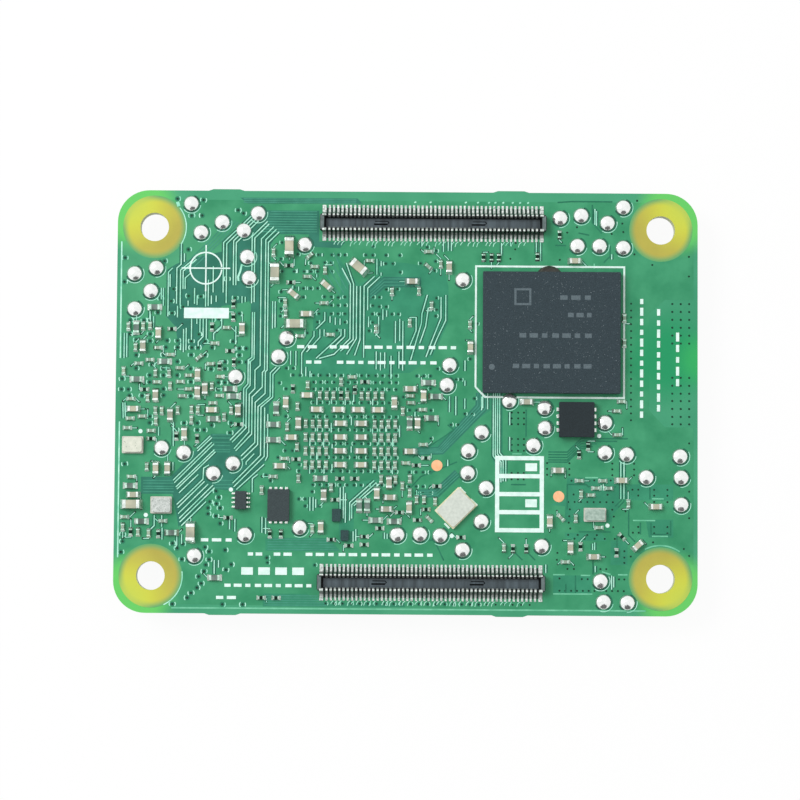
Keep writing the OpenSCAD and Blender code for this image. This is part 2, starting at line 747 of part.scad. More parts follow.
module medium_capacitors() {
    color("tan") for (p = medium_at) {
        on_top(p) chip_body(medium_l, medium_w, medium_h, medium_end);
    }
}

module medium_capacitor_ends() {
    color("silver") for (p = medium_at) {
        on_top(p) chip_ends(medium_l, medium_w, medium_h, medium_end);
    }
}

module small_capacitors() {
    color("tan") for (p = small_at) {
        on_top(p) chip_body(small_l, small_w, small_h, small_end);
    }
}

module small_capacitor_ends() {
    color("silver") for (p = small_at) {
        on_top(p) chip_ends(small_l, small_w, small_h, small_end);
    }
}

module medium_resistors() {
    color("gray") for (p = medium_resistors_at) {
        on_top(p) chip_body(medium_l, medium_w, medium_resistor_h, medium_end);
    }
}

module medium_resistor_ends() {
    color("silver") for (p = medium_resistors_at) {
        on_top(p) chip_ends(medium_l, medium_w, medium_resistor_h, medium_end);
    }
}

module small_resistors() {
    color("black") for (p = small_resistors_at) {
        on_top(p) chip_body(small_l, small_w, small_resistor_h, small_end);
    }
}

module small_resistor_ends() {
    color("silver") for (p = small_resistors_at) {
        on_top(p) chip_ends(small_l, small_w, small_resistor_h, small_end);
    }
}

module processor_substrate() {
    color("darkgreen") underneath(processor_at) translate([0, 0, ball_h])
        block(processor_side, processor_side, processor_t);
}

// Stamped lid: a flange on the substrate and a raised top
module processor_lid() {
    color("silver") underneath(processor_at) translate([0, 0, ball_h + processor_t]) {
        rounded_plate(lid_flange_side, lid_flange_side, lid_flange_t, lid_corner_r);
        rounded_plate(lid_top_side, lid_top_side, lid_flange_t + lid_top_h, lid_corner_r);
    }
}

module processor_balls() {
    count = floor(processor_side / big_ball_pitch) - 1;
    color("silver") underneath(processor_at) ball_grid(count, count, big_ball_pitch, count / 2 - 2);
}

module memory_package() {
    color("darkslategray") underneath(memory_at) translate([0, 0, ball_h])
        block(memory_l, memory_w, memory_t);
}

module memory_balls() {
    nx = floor(memory_l / big_ball_pitch) - 1;
    ny = floor(memory_w / big_ball_pitch) - 1;
    color("silver") underneath(memory_at) ball_grid(nx, ny, big_ball_pitch, ny / 2 - 2);
}

module io_controller() {
    color("darkslategray") underneath(controller_at) translate([0, 0, ball_h])
        block(controller_side, controller_side, controller_t);
}

module io_controller_balls() {
    count = floor(controller_side / big_ball_pitch) - 1;
    color("silver") underneath(controller_at) ball_grid(count, count, big_ball_pitch, count / 2 - 3);
}

// Flat chip without outside leads
module flat_chip(p) {
    color("darkslategray") underneath(p) block(flat_chip_side, flat_chip_side, flat_chip_t);
}

// Wettable pads that show at the four sides of a flat chip
module flat_chip_pads(p) {
    color("silver") underneath(p) for (s = [0, 90, 180, 270]) {
        rotate(s) translate([flat_chip_side / 2, 0, 0]) lead_row(9, 0.5, 0.25);
    }
}

module power_manager() {
    flat_chip(power_manager_at);
}

module power_manager_pads() {
    flat_chip_pads(power_manager_at);
}

module network_chip() {
    flat_chip(network_chip_at);
}

module network_chip_pads() {
    flat_chip_pads(network_chip_at);
}

// Folded sheet can, open towards the board
module shield_can() {
    inner_l = can_l - 2 * can_sheet;
    inner_w = can_w - 2 * can_sheet;
    inner_r = can_corner_r - can_sheet;
    color("silver") underneath(can_at) difference() {
        rounded_plate(can_l, can_w, can_h, can_corner_r);
        translate([0, 0, -cut_reach]) rounded_plate(inner_l, inner_w, can_h - can_sheet + cut_reach, inner_r);
    }
}

module radio_chip() {
    color("darkslategray") underneath(can_at) block(radio_side, radio_side, radio_h);
}

module power_inductors() {
    color("dimgray") for (p = inductors_at) {
        underneath(p) chip_body(inductor_l, inductor_w, inductor_h, inductor_end);
    }
}

module power_inductor_ends() {
    color("silver") for (p = inductors_at) {
        underneath(p) chip_ends(inductor_l, inductor_w, inductor_h, inductor_end);
    }
}

module antenna_connector_base() {
    color("white") underneath(antenna_at) block(antenna_side, antenna_side, antenna_base_t);
}

module antenna_connector_shell() {
    color("gold") underneath(antenna_at) translate([0, 0, antenna_base_t]) difference() {
        cylinder(d = antenna_d, h = antenna_h - antenna_base_t);
        translate([0, 0, -cut_reach])
            cylinder(d = antenna_d - 2 * antenna_wall, h = antenna_h + 2 * cut_reach);
    }
}

module antenna_connector_pin() {
    color("gold") underneath(antenna_at) translate([0, 0, antenna_base_t])
        cylinder(d = antenna_pin_d, h = 0.8 * (antenna_h - antenna_base_t));
}

module hidden_capacitors() {
    color("tan") for (p = hidden_caps_at) {
        underneath(p) chip_body(medium_l, medium_w, medium_h, medium_end);
    }
}

module hidden_capacitor_ends() {
    color("silver") for (p = hidden_caps_at) {
        underneath(p) chip_ends(medium_l, medium_w, medium_h, medium_end);
    }
}

circuit_board();
carrier_connector_1_housing();
carrier_connector_1_contacts();
carrier_connector_1_hold_downs();
carrier_connector_2_housing();
carrier_connector_2_contacts();
carrier_connector_2_hold_downs();
flash_memory();
flash_memory_balls();
flash_memory_edge_bond();
power_switch_chip();
power_switch_leads();
boot_memory_chip();
boot_memory_leads();
interface_chip();
interface_chip_leads();
small_logic_chips();
main_crystal_base();
main_crystal_lid();
side_crystal_base();
side_crystal_lid();
small_crystal_base();
small_crystal_lid();
clock_oscillator_base();
clock_oscillator_lid();
test_pad_domes();
alignment_marks();
large_capacitors();
large_capacitor_ends();
medium_capacitors();
medium_capacitor_ends();
small_capacitors();
small_capacitor_ends();
medium_resistors();
medium_resistor_ends();
small_resistors();
small_resistor_ends();
processor_substrate();
processor_lid();
processor_balls();
memory_package();
memory_balls();
io_controller();
io_controller_balls();
power_manager();
power_manager_pads();
network_chip();
network_chip_pads();
shield_can();
radio_chip();
power_inductors();
power_inductor_ends();
antenna_connector_base();
antenna_connector_shell();
antenna_connector_pin();
hidden_capacitors();
hidden_capacitor_ends();
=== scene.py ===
# %% [markdown]
# # A system on module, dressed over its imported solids
# The object is a small computer on one board, lying on its processor lid with the
# connector side up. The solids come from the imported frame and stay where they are.
# This lesson gives them finishes and adds what solids leave out: the copper that shows
# through the mask, tracks, vias, solder and print.

# %% Load the frame
import bpy, bmesh, json, math
from mathutils import Matrix, Vector, kdtree


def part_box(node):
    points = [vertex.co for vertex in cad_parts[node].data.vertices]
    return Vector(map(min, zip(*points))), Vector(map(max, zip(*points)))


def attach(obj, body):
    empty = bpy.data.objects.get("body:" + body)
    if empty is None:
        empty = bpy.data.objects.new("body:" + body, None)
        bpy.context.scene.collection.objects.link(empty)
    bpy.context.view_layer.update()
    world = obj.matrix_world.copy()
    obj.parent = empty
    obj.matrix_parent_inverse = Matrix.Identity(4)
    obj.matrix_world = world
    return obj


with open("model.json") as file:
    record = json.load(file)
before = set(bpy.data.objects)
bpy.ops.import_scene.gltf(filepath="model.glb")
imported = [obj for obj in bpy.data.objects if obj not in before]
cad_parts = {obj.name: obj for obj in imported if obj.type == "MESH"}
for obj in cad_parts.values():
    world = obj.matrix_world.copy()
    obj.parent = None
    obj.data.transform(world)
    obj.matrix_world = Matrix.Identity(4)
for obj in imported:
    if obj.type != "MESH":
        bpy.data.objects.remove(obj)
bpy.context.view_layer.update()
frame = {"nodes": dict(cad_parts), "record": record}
nodes = frame["nodes"]
print("nodes in the frame:", len(nodes))

# %% [markdown]
# Everything on a board is measured in millimetres, while Blender's frame is in metres.
# One value turns one into the other, and the board's own box gives the two mask
# surfaces that all the flat work is laid on. The record says where the screw holes are,
# and a node's box seen from above, its plan, is needed again and again.

# %% Millimetres, and the board's two faces
mm = 0.001
board_low, board_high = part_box("circuit_board")
top, under = board_high.z / mm, board_low.z / mm
screw_holes = next(m for m in frame["record"]["mounts"] if m["name"] == "screw_holes")["dims"]
hole_x, hole_y = screw_holes["spacing_x_mm"] / 2, screw_holes["spacing_y_mm"] / 2
hole_r = screw_holes["hole_r_mm"]

def plan(name):
    low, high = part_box(name)
    return [v / mm for v in (low.x, low.y, high.x, high.y)]

print("mask surfaces at", round(top, 3), "and", round(under, 3), "mm, screw holes at", hole_x, hole_y)

# %% [markdown]
# The camera comes first, because every later look is seen through it. The picture
# was taken almost straight down, a few degrees towards the near long side, with a long
# lens. A camera's three axes are written into its matrix, so the small roll is one line.

# %% Camera
sensor, picture_pixels = 36.0, 800

def place_camera(aim, rise, roll, away, pixels_per_mm):
    rise, roll = math.radians(rise), math.radians(roll)
    back = Vector((0, -math.cos(rise), math.sin(rise)))
    right, up = Vector((1, 0, 0)), Vector((0, math.sin(rise), math.cos(rise)))
    turned = right * math.cos(roll) + up * math.sin(roll)
    upright = up * math.cos(roll) - right * math.sin(roll)
    lens = bpy.data.cameras.new("module_camera")
    lens.sensor_width = sensor
    lens.lens = sensor * away / (picture_pixels / pixels_per_mm)
    lens.clip_start, lens.clip_end = 0.01, 10.0
    camera = bpy.data.objects.new("module_camera", lens)
    spot = (Vector(aim) + back * away) * mm
    axes = Matrix((turned, upright, back)).transposed().to_4x4()
    camera.matrix_world = Matrix.Translation(spot) @ axes
    bpy.context.scene.collection.objects.link(camera)
    bpy.context.scene.camera = camera
    print("lens", round(lens.lens, 1), "mm")

place_camera(aim=(-0.623, 0.215, top), rise=86.6, roll=0.40, away=240.0, pixels_per_mm=10.584)

# %% [markdown]
# A finish on a board is never one flat colour: mask is thicker here and thinner there,
# metal is grainy, moulding compound is speckled. This helper mixes two near tones by a
# noise of a stated size, lets the same noise move the roughness, and adds a fine bump.
# Colours are written as on screen and turned to linear light. Mask is the commonest finish
# here, so it has a short form of its own.

# %% Tones and a mottled finish
def tone(code):
    channels = [int(code[i:i + 2], 16) / 255 for i in (0, 2, 4)]
    return [c / 12.92 if c < 0.04045 else ((c + 0.055) / 1.055) ** 2.4 for c in channels] + [1.0]

rough_swing = 0.08

def mottled(name, dark, pale, grain, rough, metal=0.0, bump=0.0, bump_grain=0.1, shine=0.5):
    skin = bpy.data.materials.new(name)
    skin.use_nodes = True
    make, join = skin.node_tree.nodes.new, skin.node_tree.links.new
    shader = skin.node_tree.nodes["Principled BSDF"]
    place = make("ShaderNodeTexCoord")
    blotch = make("ShaderNodeTexNoise")
    blotch.inputs["Scale"].default_value = 1 / (grain * mm)
    blotch.inputs["Detail"].default_value = 5.0
    join(place.outputs["Object"], blotch.inputs["Vector"])
    ramp = make("ShaderNodeValToRGB")
    first, last = ramp.color_ramp.elements
    first.position, last.position = 0.32, 0.68
    first.color, last.color = tone(dark), tone(pale)
    join(blotch.outputs["Fac"], ramp.inputs["Fac"])
    join(ramp.outputs["Color"], shader.inputs["Base Color"])
    polish = make("ShaderNodeMapRange")
    polish.inputs["To Min"].default_value = max(rough - rough_swing, 0.02)
    polish.inputs["To Max"].default_value = min(rough + rough_swing, 1.0)
    join(blotch.outputs["Fac"], polish.inputs["Value"])
    join(polish.outputs["Result"], shader.inputs["Roughness"])
    shader.inputs["Metallic"].default_value = metal
    shader.inputs["Specular IOR Level"].default_value = shine
    if bump:
        fine = make("ShaderNodeTexNoise")
        fine.inputs["Scale"].default_value = 1 / (bump_grain * mm)
        fine.inputs["Detail"].default_value = 3.0
        join(place.outputs["Object"], fine.inputs["Vector"])
        dent = make("ShaderNodeBump")
        dent.inputs["Distance"].default_value = bump * mm
        dent.inputs["Strength"].default_value = 0.6
        join(fine.outputs["Fac"], dent.inputs["Height"])
        join(dent.outputs["Normal"], shader.inputs["Normal"])
    return skin

def mask(name, dark, pale, grain, rough=0.34, bump=0.002, bump_grain=0.2, shine=0.25):
    return mottled(name, dark, pale, grain, rough, bump=bump, bump_grain=bump_grain, shine=shine)

print("a middle grey in linear light:", round(tone("808080")[0], 3))

# %% [markdown]
# Some finishes change from place to place: laminate glows near a corner, a contact is
# dull where it is bent, moulding has pale specks. One helper lays one more tone over a
# finish, and three give its share: by specks of a stated size, by distance from a spot on
# the board, or by slope.

# %% One more tone over a finish
def lay_over(skin, share, code):
    make, join = skin.node_tree.nodes.new, skin.node_tree.links.new
    colour = skin.node_tree.nodes["Principled BSDF"].inputs["Base Color"]
    blend = make("ShaderNodeMix")
    blend.data_type = "RGBA"
    tones = [s for s in blend.inputs if s.type == "RGBA"]
    join(colour.links[0].from_socket, tones[0])
    tones[1].default_value = tone(code)
    join(share, blend.inputs["Factor"])
    join([s for s in blend.outputs if s.type == "RGBA"][0], colour)

# %% Its share by specks, by distance or by slope
def by_specks(skin, size, rarity):
    make, join = skin.node_tree.nodes.new, skin.node_tree.links.new
    grit, share = make("ShaderNodeTexNoise"), make("ShaderNodeMapRange")
    grit.inputs["Scale"].default_value = 1 / (size * mm)
    join(make("ShaderNodeTexCoord").outputs["Object"], grit.inputs["Vector"])
    share.inputs["From Min"].default_value, share.inputs["From Max"].default_value = rarity, rarity + 0.04
    join(grit.outputs["Fac"], share.inputs["Value"])
    return share.outputs["Result"]

def by_distance(skin, x, y, reach, fade, inside=1.0, outside=0.0, fold=False):
    make, join = skin.node_tree.nodes.new, skin.node_tree.links.new
    vector = make("ShaderNodeTexCoord").outputs["Object"]
    for step in (["ABSOLUTE"] if fold else []) + ["MULTIPLY", "DISTANCE"]:
        sum_up = make("ShaderNodeVectorMath")
        sum_up.operation = step
        join(vector, sum_up.inputs[0])
        if step == "MULTIPLY":
            sum_up.inputs[1].default_value = (1, 1, 0)
        if step == "DISTANCE":
            sum_up.inputs[1].default_value = (x * mm, y * mm, 0)
        vector = sum_up.outputs[1 if step == "DISTANCE" else 0]
    soft = make("ShaderNodeMapRange")
    soft.interpolation_type = "SMOOTHSTEP"
    soft.inputs["From Min"].default_value = reach * mm
    soft.inputs["From Max"].default_value = (reach + fade) * mm
    soft.inputs["To Min"].default_value, soft.inputs["To Max"].default_value = inside, outside
    join(vector, soft.inputs["Value"])
    return soft.outputs["Result"]

def by_slope(skin, steep, flat):
    make, join = skin.node_tree.nodes.new, skin.node_tree.links.new
    split, upright, share = make("ShaderNodeSeparateXYZ"), make("ShaderNodeMath"), make("ShaderNodeMapRange")
    join(make("ShaderNodeNewGeometry").outputs["Normal"], split.inputs["Vector"])
    upright.operation = "ABSOLUTE"
    join(split.outputs["Z"], upright.inputs[0])
    share.inputs["From Min"].default_value, share.inputs["From Max"].default_value = steep, flat
    share.inputs["To Min"].default_value, share.inputs["To Max"].default_value = 1.0, 0.0
    join(upright.outputs["Value"], share.inputs["Value"])
    return share.outputs["Result"]

# %% [markdown]
# Flat work on the board is a thin raised sheet: an outline becomes one face, and all
# faces of a piece are drawn up together. Only the outline is worked out here, and the
# extrude operator makes the walls. A track is a path widened to both sides, with its
# corners mitred so that bends keep their width.

# %% Raised sheets
def keep_piece(name, bm, skin):
    bmesh.ops.scale(bm, vec=(mm, mm, mm), verts=bm.verts)
    bmesh.ops.recalc_face_normals(bm, faces=bm.faces)
    mesh = bpy.data.meshes.new(name)
    bm.to_mesh(mesh)
    bm.free()
    mesh.materials.append(skin)
    piece = bpy.data.objects.new(name, mesh)
    bpy.context.scene.collection.objects.link(piece)
    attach(piece, "root")
    print(name, "faces", len(mesh.polygons))

def draw_up(bm, rise):
    lifted = bmesh.ops.extrude_face_region(bm, geom=bm.faces[:])["geom"]
    rising = [v for v in lifted if isinstance(v, bmesh.types.BMVert)]
    bmesh.ops.translate(bm, vec=(0, 0, rise), verts=rising)

stagger, stagger_steps = 0.0002, 6

def raised_sheets(name, outlines, low, high, skin):
    bm = bmesh.new()
    for i, outline in enumerate(outlines):
        level = low + i % stagger_steps * stagger
        bm.faces.new([bm.verts.new((x, y, level)) for x, y in outline])
    draw_up(bm, high - low)
    keep_piece(name, bm, skin)

# %% Outlines of tracks, bars, spots and arcs
def track(path, width):
    left, right = [], []
    path = [Vector(p) for p in path]
    for i, p in enumerate(path):
        before = (p - path[i - 1]).normalized() if i else None
        after = (path[i + 1] - p).normalized() if i + 1 < len(path) else before
        before = before or after
        across = Vector((-(before + after).y, (before + after).x)).normalized()
        reach = width / 2 / max(across.dot(Vector((-after.y, after.x))), 0.4)
        left.append(p + across * reach)
        right.append(p - across * reach)
    return left + right[::-1]

def bar(x, y, length, width, turn=0.0):
    c, s = math.cos(math.radians(turn)), math.sin(math.radians(turn))
    ends = ((-1, -1), (1, -1), (1, 1), (-1, 1))
    spots = [(a * length / 2, b * width / 2) for a, b in ends]
    return [(x + c * u - s * v, y + s * u + c * v) for u, v in spots]

def round_spot(x, y, r, sides=20):
    turns = [2 * math.pi * i / sides for i in range(sides)]
    return [(x + r * math.cos(t), y + r * math.sin(t)) for t in turns]

def arc(x, y, r, start, end, steps=24):
    turns = [math.radians(start + (end - start) * i / steps) for i in range(steps + 1)]
    return [(x + r * math.cos(t), y + r * math.sin(t)) for t in turns]

print("corners of a track with one bend:", len(track([(0, 0), (1, 0), (2, 1)], 0.1)))

# %% [markdown]
# Two sheets in one plane show black patches where they overlap. So each group of flat
# work has its own height above the mask, about a thousandth of a millimetre over the last,
# and the sheets within a group are staggered by less than that.

# %% Heights of the flat work on both faces
sheet_tops = {
    "ground_copper_top": 0.01, "open_fields": 0.0115, "fields_between_tracks": 0.013,
    "stub_gaps": 0.0143, "via_sink_shades": 0.015, "tail_shades": 0.0155, "track_gaps": 0.0166,
    "dome_painted_shadows": 0.0188, "copper_seams": 0.0199, "copper_rims": 0.021, "tail_tracks": 0.0221,
    "stub_tracks": 0.0232, "left_copper_rims_and_highlights": 0.0243, "via_crescent_glints": 0.0254, "cross_tracks": 0.0265,
    "dome_rim_highlights": 0.0276, "painted_track_highlights": 0.0287, "white_print": 0.042,
}

under_sheets = {
    "ground_copper_under": (0.010, 0.0), "under_track_gaps": (0.016, 0.008),
    "under_tracks": (0.026, 0.010), "under_print": (0.042, 0.008),
}

def on_mask(name, outlines, skin, foot=0.008):
    raised_sheets(name, outlines, top + foot, top + sheet_tops[name], skin)

def below_mask(name, outlines, skin):
    deep, foot = under_sheets[name]
    raised_sheets(name, outlines, under - deep, under - foot, skin)

print("groups of flat work:", len(sheet_tops), "above and", len(under_sheets), "below")

# %% [markdown]
# The bare board is glass laminate under green mask. Where no copper lies under it, light
# passes through and the mask looks brighter: at the four corners and beside the aerial.
# Object coordinates give the distance from each screw hole, and the sawn walls show the
# paler laminate, which the surface normal picks out.

# %% Mask over bare laminate
def glow_through(skin):
    lay_over(skin, by_distance(skin, 25.6, 18.1, 2.3, 2.2, fold=True), "66CB64")
    lay_over(skin, by_distance(skin, 24.6, 4.4, 1.5, 4.0), "1B9560")
    lay_over(skin, by_distance(skin, 28.0, 4.2, 0.7, 2.6), "30AC5F")

board_green = mask("mask_over_laminate", "3B966E", "49A37A", 6.0, rough=0.36, bump=0.004, bump_grain=0.5)
glow_through(board_green)
lay_over(board_green, by_slope(board_green, 0.4, 0.8), "B4BC82")
nodes["circuit_board"].data.materials.clear()
nodes["circuit_board"].data.materials.append(board_green)
print("board finish:", board_green.name)

# %% [markdown]
# Most of both faces is one sheet of ground copper under the mask. It stops short of the
# board's edges, of the screw holes and of the aerial, and its rim catches light as a
# pale line. The outline walks round the board and turns in round each screw hole.

# %% Ground copper under mask
pour_green = mask("mask_over_copper", "2E8A60", "429D71", 2.0, rough=0.36, bump=0.003, bump_grain=0.35)
glow_through(pour_green)
for x, y, reach, fade, share, code in ((-5.0, -3.0, 4.0, 3.5, 0.55, "217A58"),
                                       (-23.0, 13.0, 3.0, 5.0, 0.45, "55AA7C"),
                                       (-21.0, 2.0, 3.0, 5.0, 0.3, "52A078")):
    lay_over(pour_green, by_distance(pour_green, x, y, reach, fade, share), code)

pour_x, pour_y, pour_hole_r = 27.1, 19.55, 2.76

def pour_outline():
    line = [(-pour_x, -15.1)] + arc(-hole_x, -hole_y, pour_hole_r, 152, -72)
    line += [(23, -pour_y)] + arc(hole_x, -hole_y, pour_hole_r, 252, 28)
    line += [(pour_x, -15.1), (pour_x, -2.2), (24.4, -2.2), (22.9, -0.6), (22.9, 8.6), (24.4, 9.9)]
    line += [(pour_x, 9.9), (pour_x, 15.1)] + arc(hole_x, hole_y, pour_hole_r, -28, -252)
    line += arc(-hole_x, hole_y, pour_hole_r, 72, -152) + [(-pour_x, 15.1)]
    return line

on_mask("ground_copper_top", [pour_outline()], pour_green, foot=0.0)
below_mask("ground_copper_under", [pour_outline()], pour_green)

# %% [markdown]
# Round each screw hole the mask is left off, and the honey-coloured laminate shows. Two
# circles are bridged to a flat ring, which is drawn up a hair above the board.

# %% Bare rings at the screw holes
bare_laminate = mottled("bare_laminate", "B0A648", "BCB24E", 3.0, 0.5, bump=0.006, bump_grain=0.25, shine=0.3)
lay_over(bare_laminate, by_distance(bare_laminate, 26.2, 18.7, 1.2, 4.2, fold=True), "CFD344")
lay_over(bare_laminate, by_distance(bare_laminate, hole_x, hole_y, 2.3, 0.75, 0.0, 0.95, True), "58A66C")
lay_over(bare_laminate, by_distance(bare_laminate, 26.6, 19.1, 0.9, 2.3, 0.8, 0.0, True), "C2D050")

bare_r, bare_high = 3.0, 0.014

def bare_rings(name, low, high):
    bm = bmesh.new()
    for x, y in ((sx * hole_x, sy * hole_y) for sx in (-1, 1) for sy in (-1, 1)):
        spot = Matrix.Translation((x, y, low))
        inner = bmesh.ops.create_circle(bm, radius=hole_r + 0.002, segments=48, matrix=spot)["verts"]
        outer = bmesh.ops.create_circle(bm, radius=bare_r, segments=48, matrix=spot)["verts"]
        edges = {e for v in inner + outer for e in v.link_edges}
        bmesh.ops.bridge_loops(bm, edges=list(edges))
    draw_up(bm, high - low)
    keep_piece(name, bm, bare_laminate)

bare_rings("bare_rings_top", top, top + bare_high)
bare_rings("bare_rings_under", under - bare_high, under)

# %% [markdown]
# Between bundles of tracks there is no ground copper, so the mask looks darker and
# bluer there, most of all where the bundles are dense. The dense fields and the open ones
# are two pieces, a few thousandths above the ground copper.

# %% Fields without copper
deep_mask = mask("mask_between_tracks", "256F5B", "307E69", 1.6, bump=0.003, bump_grain=0.3)
fields = [
    [(7.6, 0.95), (6.55, 0.95), (6.5, -0.2), (2.95, -4.2), (1.0, -4.3), (1.0, -5.0), (3.5, -4.9),
     (7.6, -0.7)],
    [(4.6, -6.35), (5.1, -7.0), (3.1, -8.95), (1.0, -9.0), (1.0, -8.25), (2.7, -8.15)],
    [(-3.7, 10.6), (-2.3, 11.9), (1.3, 11.9), (1.3, 10.9), (-2.1, 10.9), (-3.5, 9.6)],
    [(-15.9, 19.35), (-4.8, 19.35), (-4.3, 18.85), (-15.2, 18.8)],
    [(-14.6, 18.15), (-8.4, 18.15), (-8.4, 15.2), (-5.9, 15.2), (-6.4, 14.6), (-9.0, 14.7), (-9.4, 15.9),
     (-12.3, 15.9), (-13.0, 14.9), (-13.0, 3.2), (-12.55, 2.4), (-12.55, 0.3), (-13.0, -0.4), (-13.0, -5.4),
     (-16.0, -8.5), (-18.0, -8.3), (-21.4, -11.9), (-22.0, -8.8), (-25.0, -8.8), (-25.0, -7.2), (-22.2, -7.2),
     (-18.4, -3.1), (-16.6, -3.1), (-15.6, -2.2), (-15.6, 1.2), (-15.1, 1.8), (-15.1, 4.0), (-14.8, 4.3),
     (-14.8, 9.5), (-17.6, 9.0), (-17.6, 15.0)],
    [(-20.1, 13.6), (-17.6, 14.2), (-17.6, 8.8), (-18.8, 7.6), (-18.8, 5.6), (-19.5, 4.9), (-21.6, 4.9),
     (-21.9, 7.0), (-22.8, 8.0), (-22.8, 12.4), (-21.9, 13.0)],
]
open_fields = [
    [(-6.7, 13.9), (-5.4, 12.2), (-4.6, 11.2), (-3.0, 12.0), (-3.0, 13.5), (0.0, 13.2), (3.5, 12.6),
     (3.9, 11.0), (3.9, 7.6), (2.4, 4.2), (0.3, 2.8), (-9.6, 2.4), (-10.1, 4.3), (-8.9, 6.4), (-8.9, 8.6),
     (-6.4, 9.0), (-6.3, 11.2)],
    [(8.0, 1.0), (9.1, 1.0), (9.1, -7.6), (8.7, -7.6), (8.1, -5.2), (8.1, -0.6), (5.3, -2.6), (3.2, -4.7),
     (0.0, -5.3), (0.0, -4.3), (2.8, -3.9), (7.4, 0.4)],
    [(-2.4, -7.2), (-2.0, -7.6), (-4.9, -10.4), (-4.9, -13.2), (-6.3, -13.2), (-6.3, -7.9)],
    [(-13.4, -18.1), (-9.2, -18.1), (-8.4, -18.9), (0.0, -18.9), (0.0, -19.3), (-13.4, -19.3)],
    [(-13.2, -12.85), (-7.3, -12.85), (-6.1, -14.1), (-13.2, -14.1)],
    [(15.2, -7.0), (19.7, -7.0), (20.1, -7.8), (20.1, -9.8), (19.5, -10.4), (19.4, -11.2), (15.0, -11.2),
     (15.0, -9.7), (13.6, -9.6), (14.6, -9.2), (15.1, -8.6)],
    [(15.0, -12.2), (18.4, -12.2), (18.9, -12.7), (18.9, -12.95), (16.2, -12.95), (15.0, -12.6)],
    [(19.3, -12.9), (20.9, -12.9), (20.9, -15.2), (19.3, -15.2)],
    [(13.9, -16.2), (17.5, -16.2), (17.5, -17.9), (13.9, -17.9)],
    [(22.6, -10.9), (25.2, -10.9), (25.2, -12.6), (22.9, -12.6)],
    [(20.9, -7.6), (25.2, -7.6), (25.2, -9.1), (20.9, -9.1)],
]
open_mask = mask("mask_over_open_fields", "2A8362", "37936F", 1.6, bump=0.003, bump_grain=0.3)
on_mask("fields_between_tracks", fields, deep_mask)
on_mask("open_fields", open_fields, open_mask)

# %% [markdown]
# Mask runs thin over the edges of a copper track, so tracks show as pale lines. The
# bright ones, which run up and down or slantwise, carry a painted highlight where their
# edges face the light, and the ones that run across the picture stay faint, as an unlit copy
# of the same mask. They are two pieces, so that each set has its own finish, and a third
# piece is the dark mask beside the bright ones. An upright track is written short, as its x
# and the y of its two ends, and bundles of faint ones are loops.

# %% Bright tracks on the left
# The pale finish is mask thin over a track's edge plus a painted highlight; the faint one is its unlit copy.
pale_track_and_highlight = mask("mask_on_track_edges_painted_highlight", "88DCBC", "C0F6E1", 0.8, rough=0.32, shine=0.3)
unlit_track = mask("mask_on_cross_tracks_unlit", "37876E", "459880", 0.8)

def paths_from(rows):
    return [[row[:2], (row[0], row[2])] if isinstance(row, tuple) else row for row in rows]

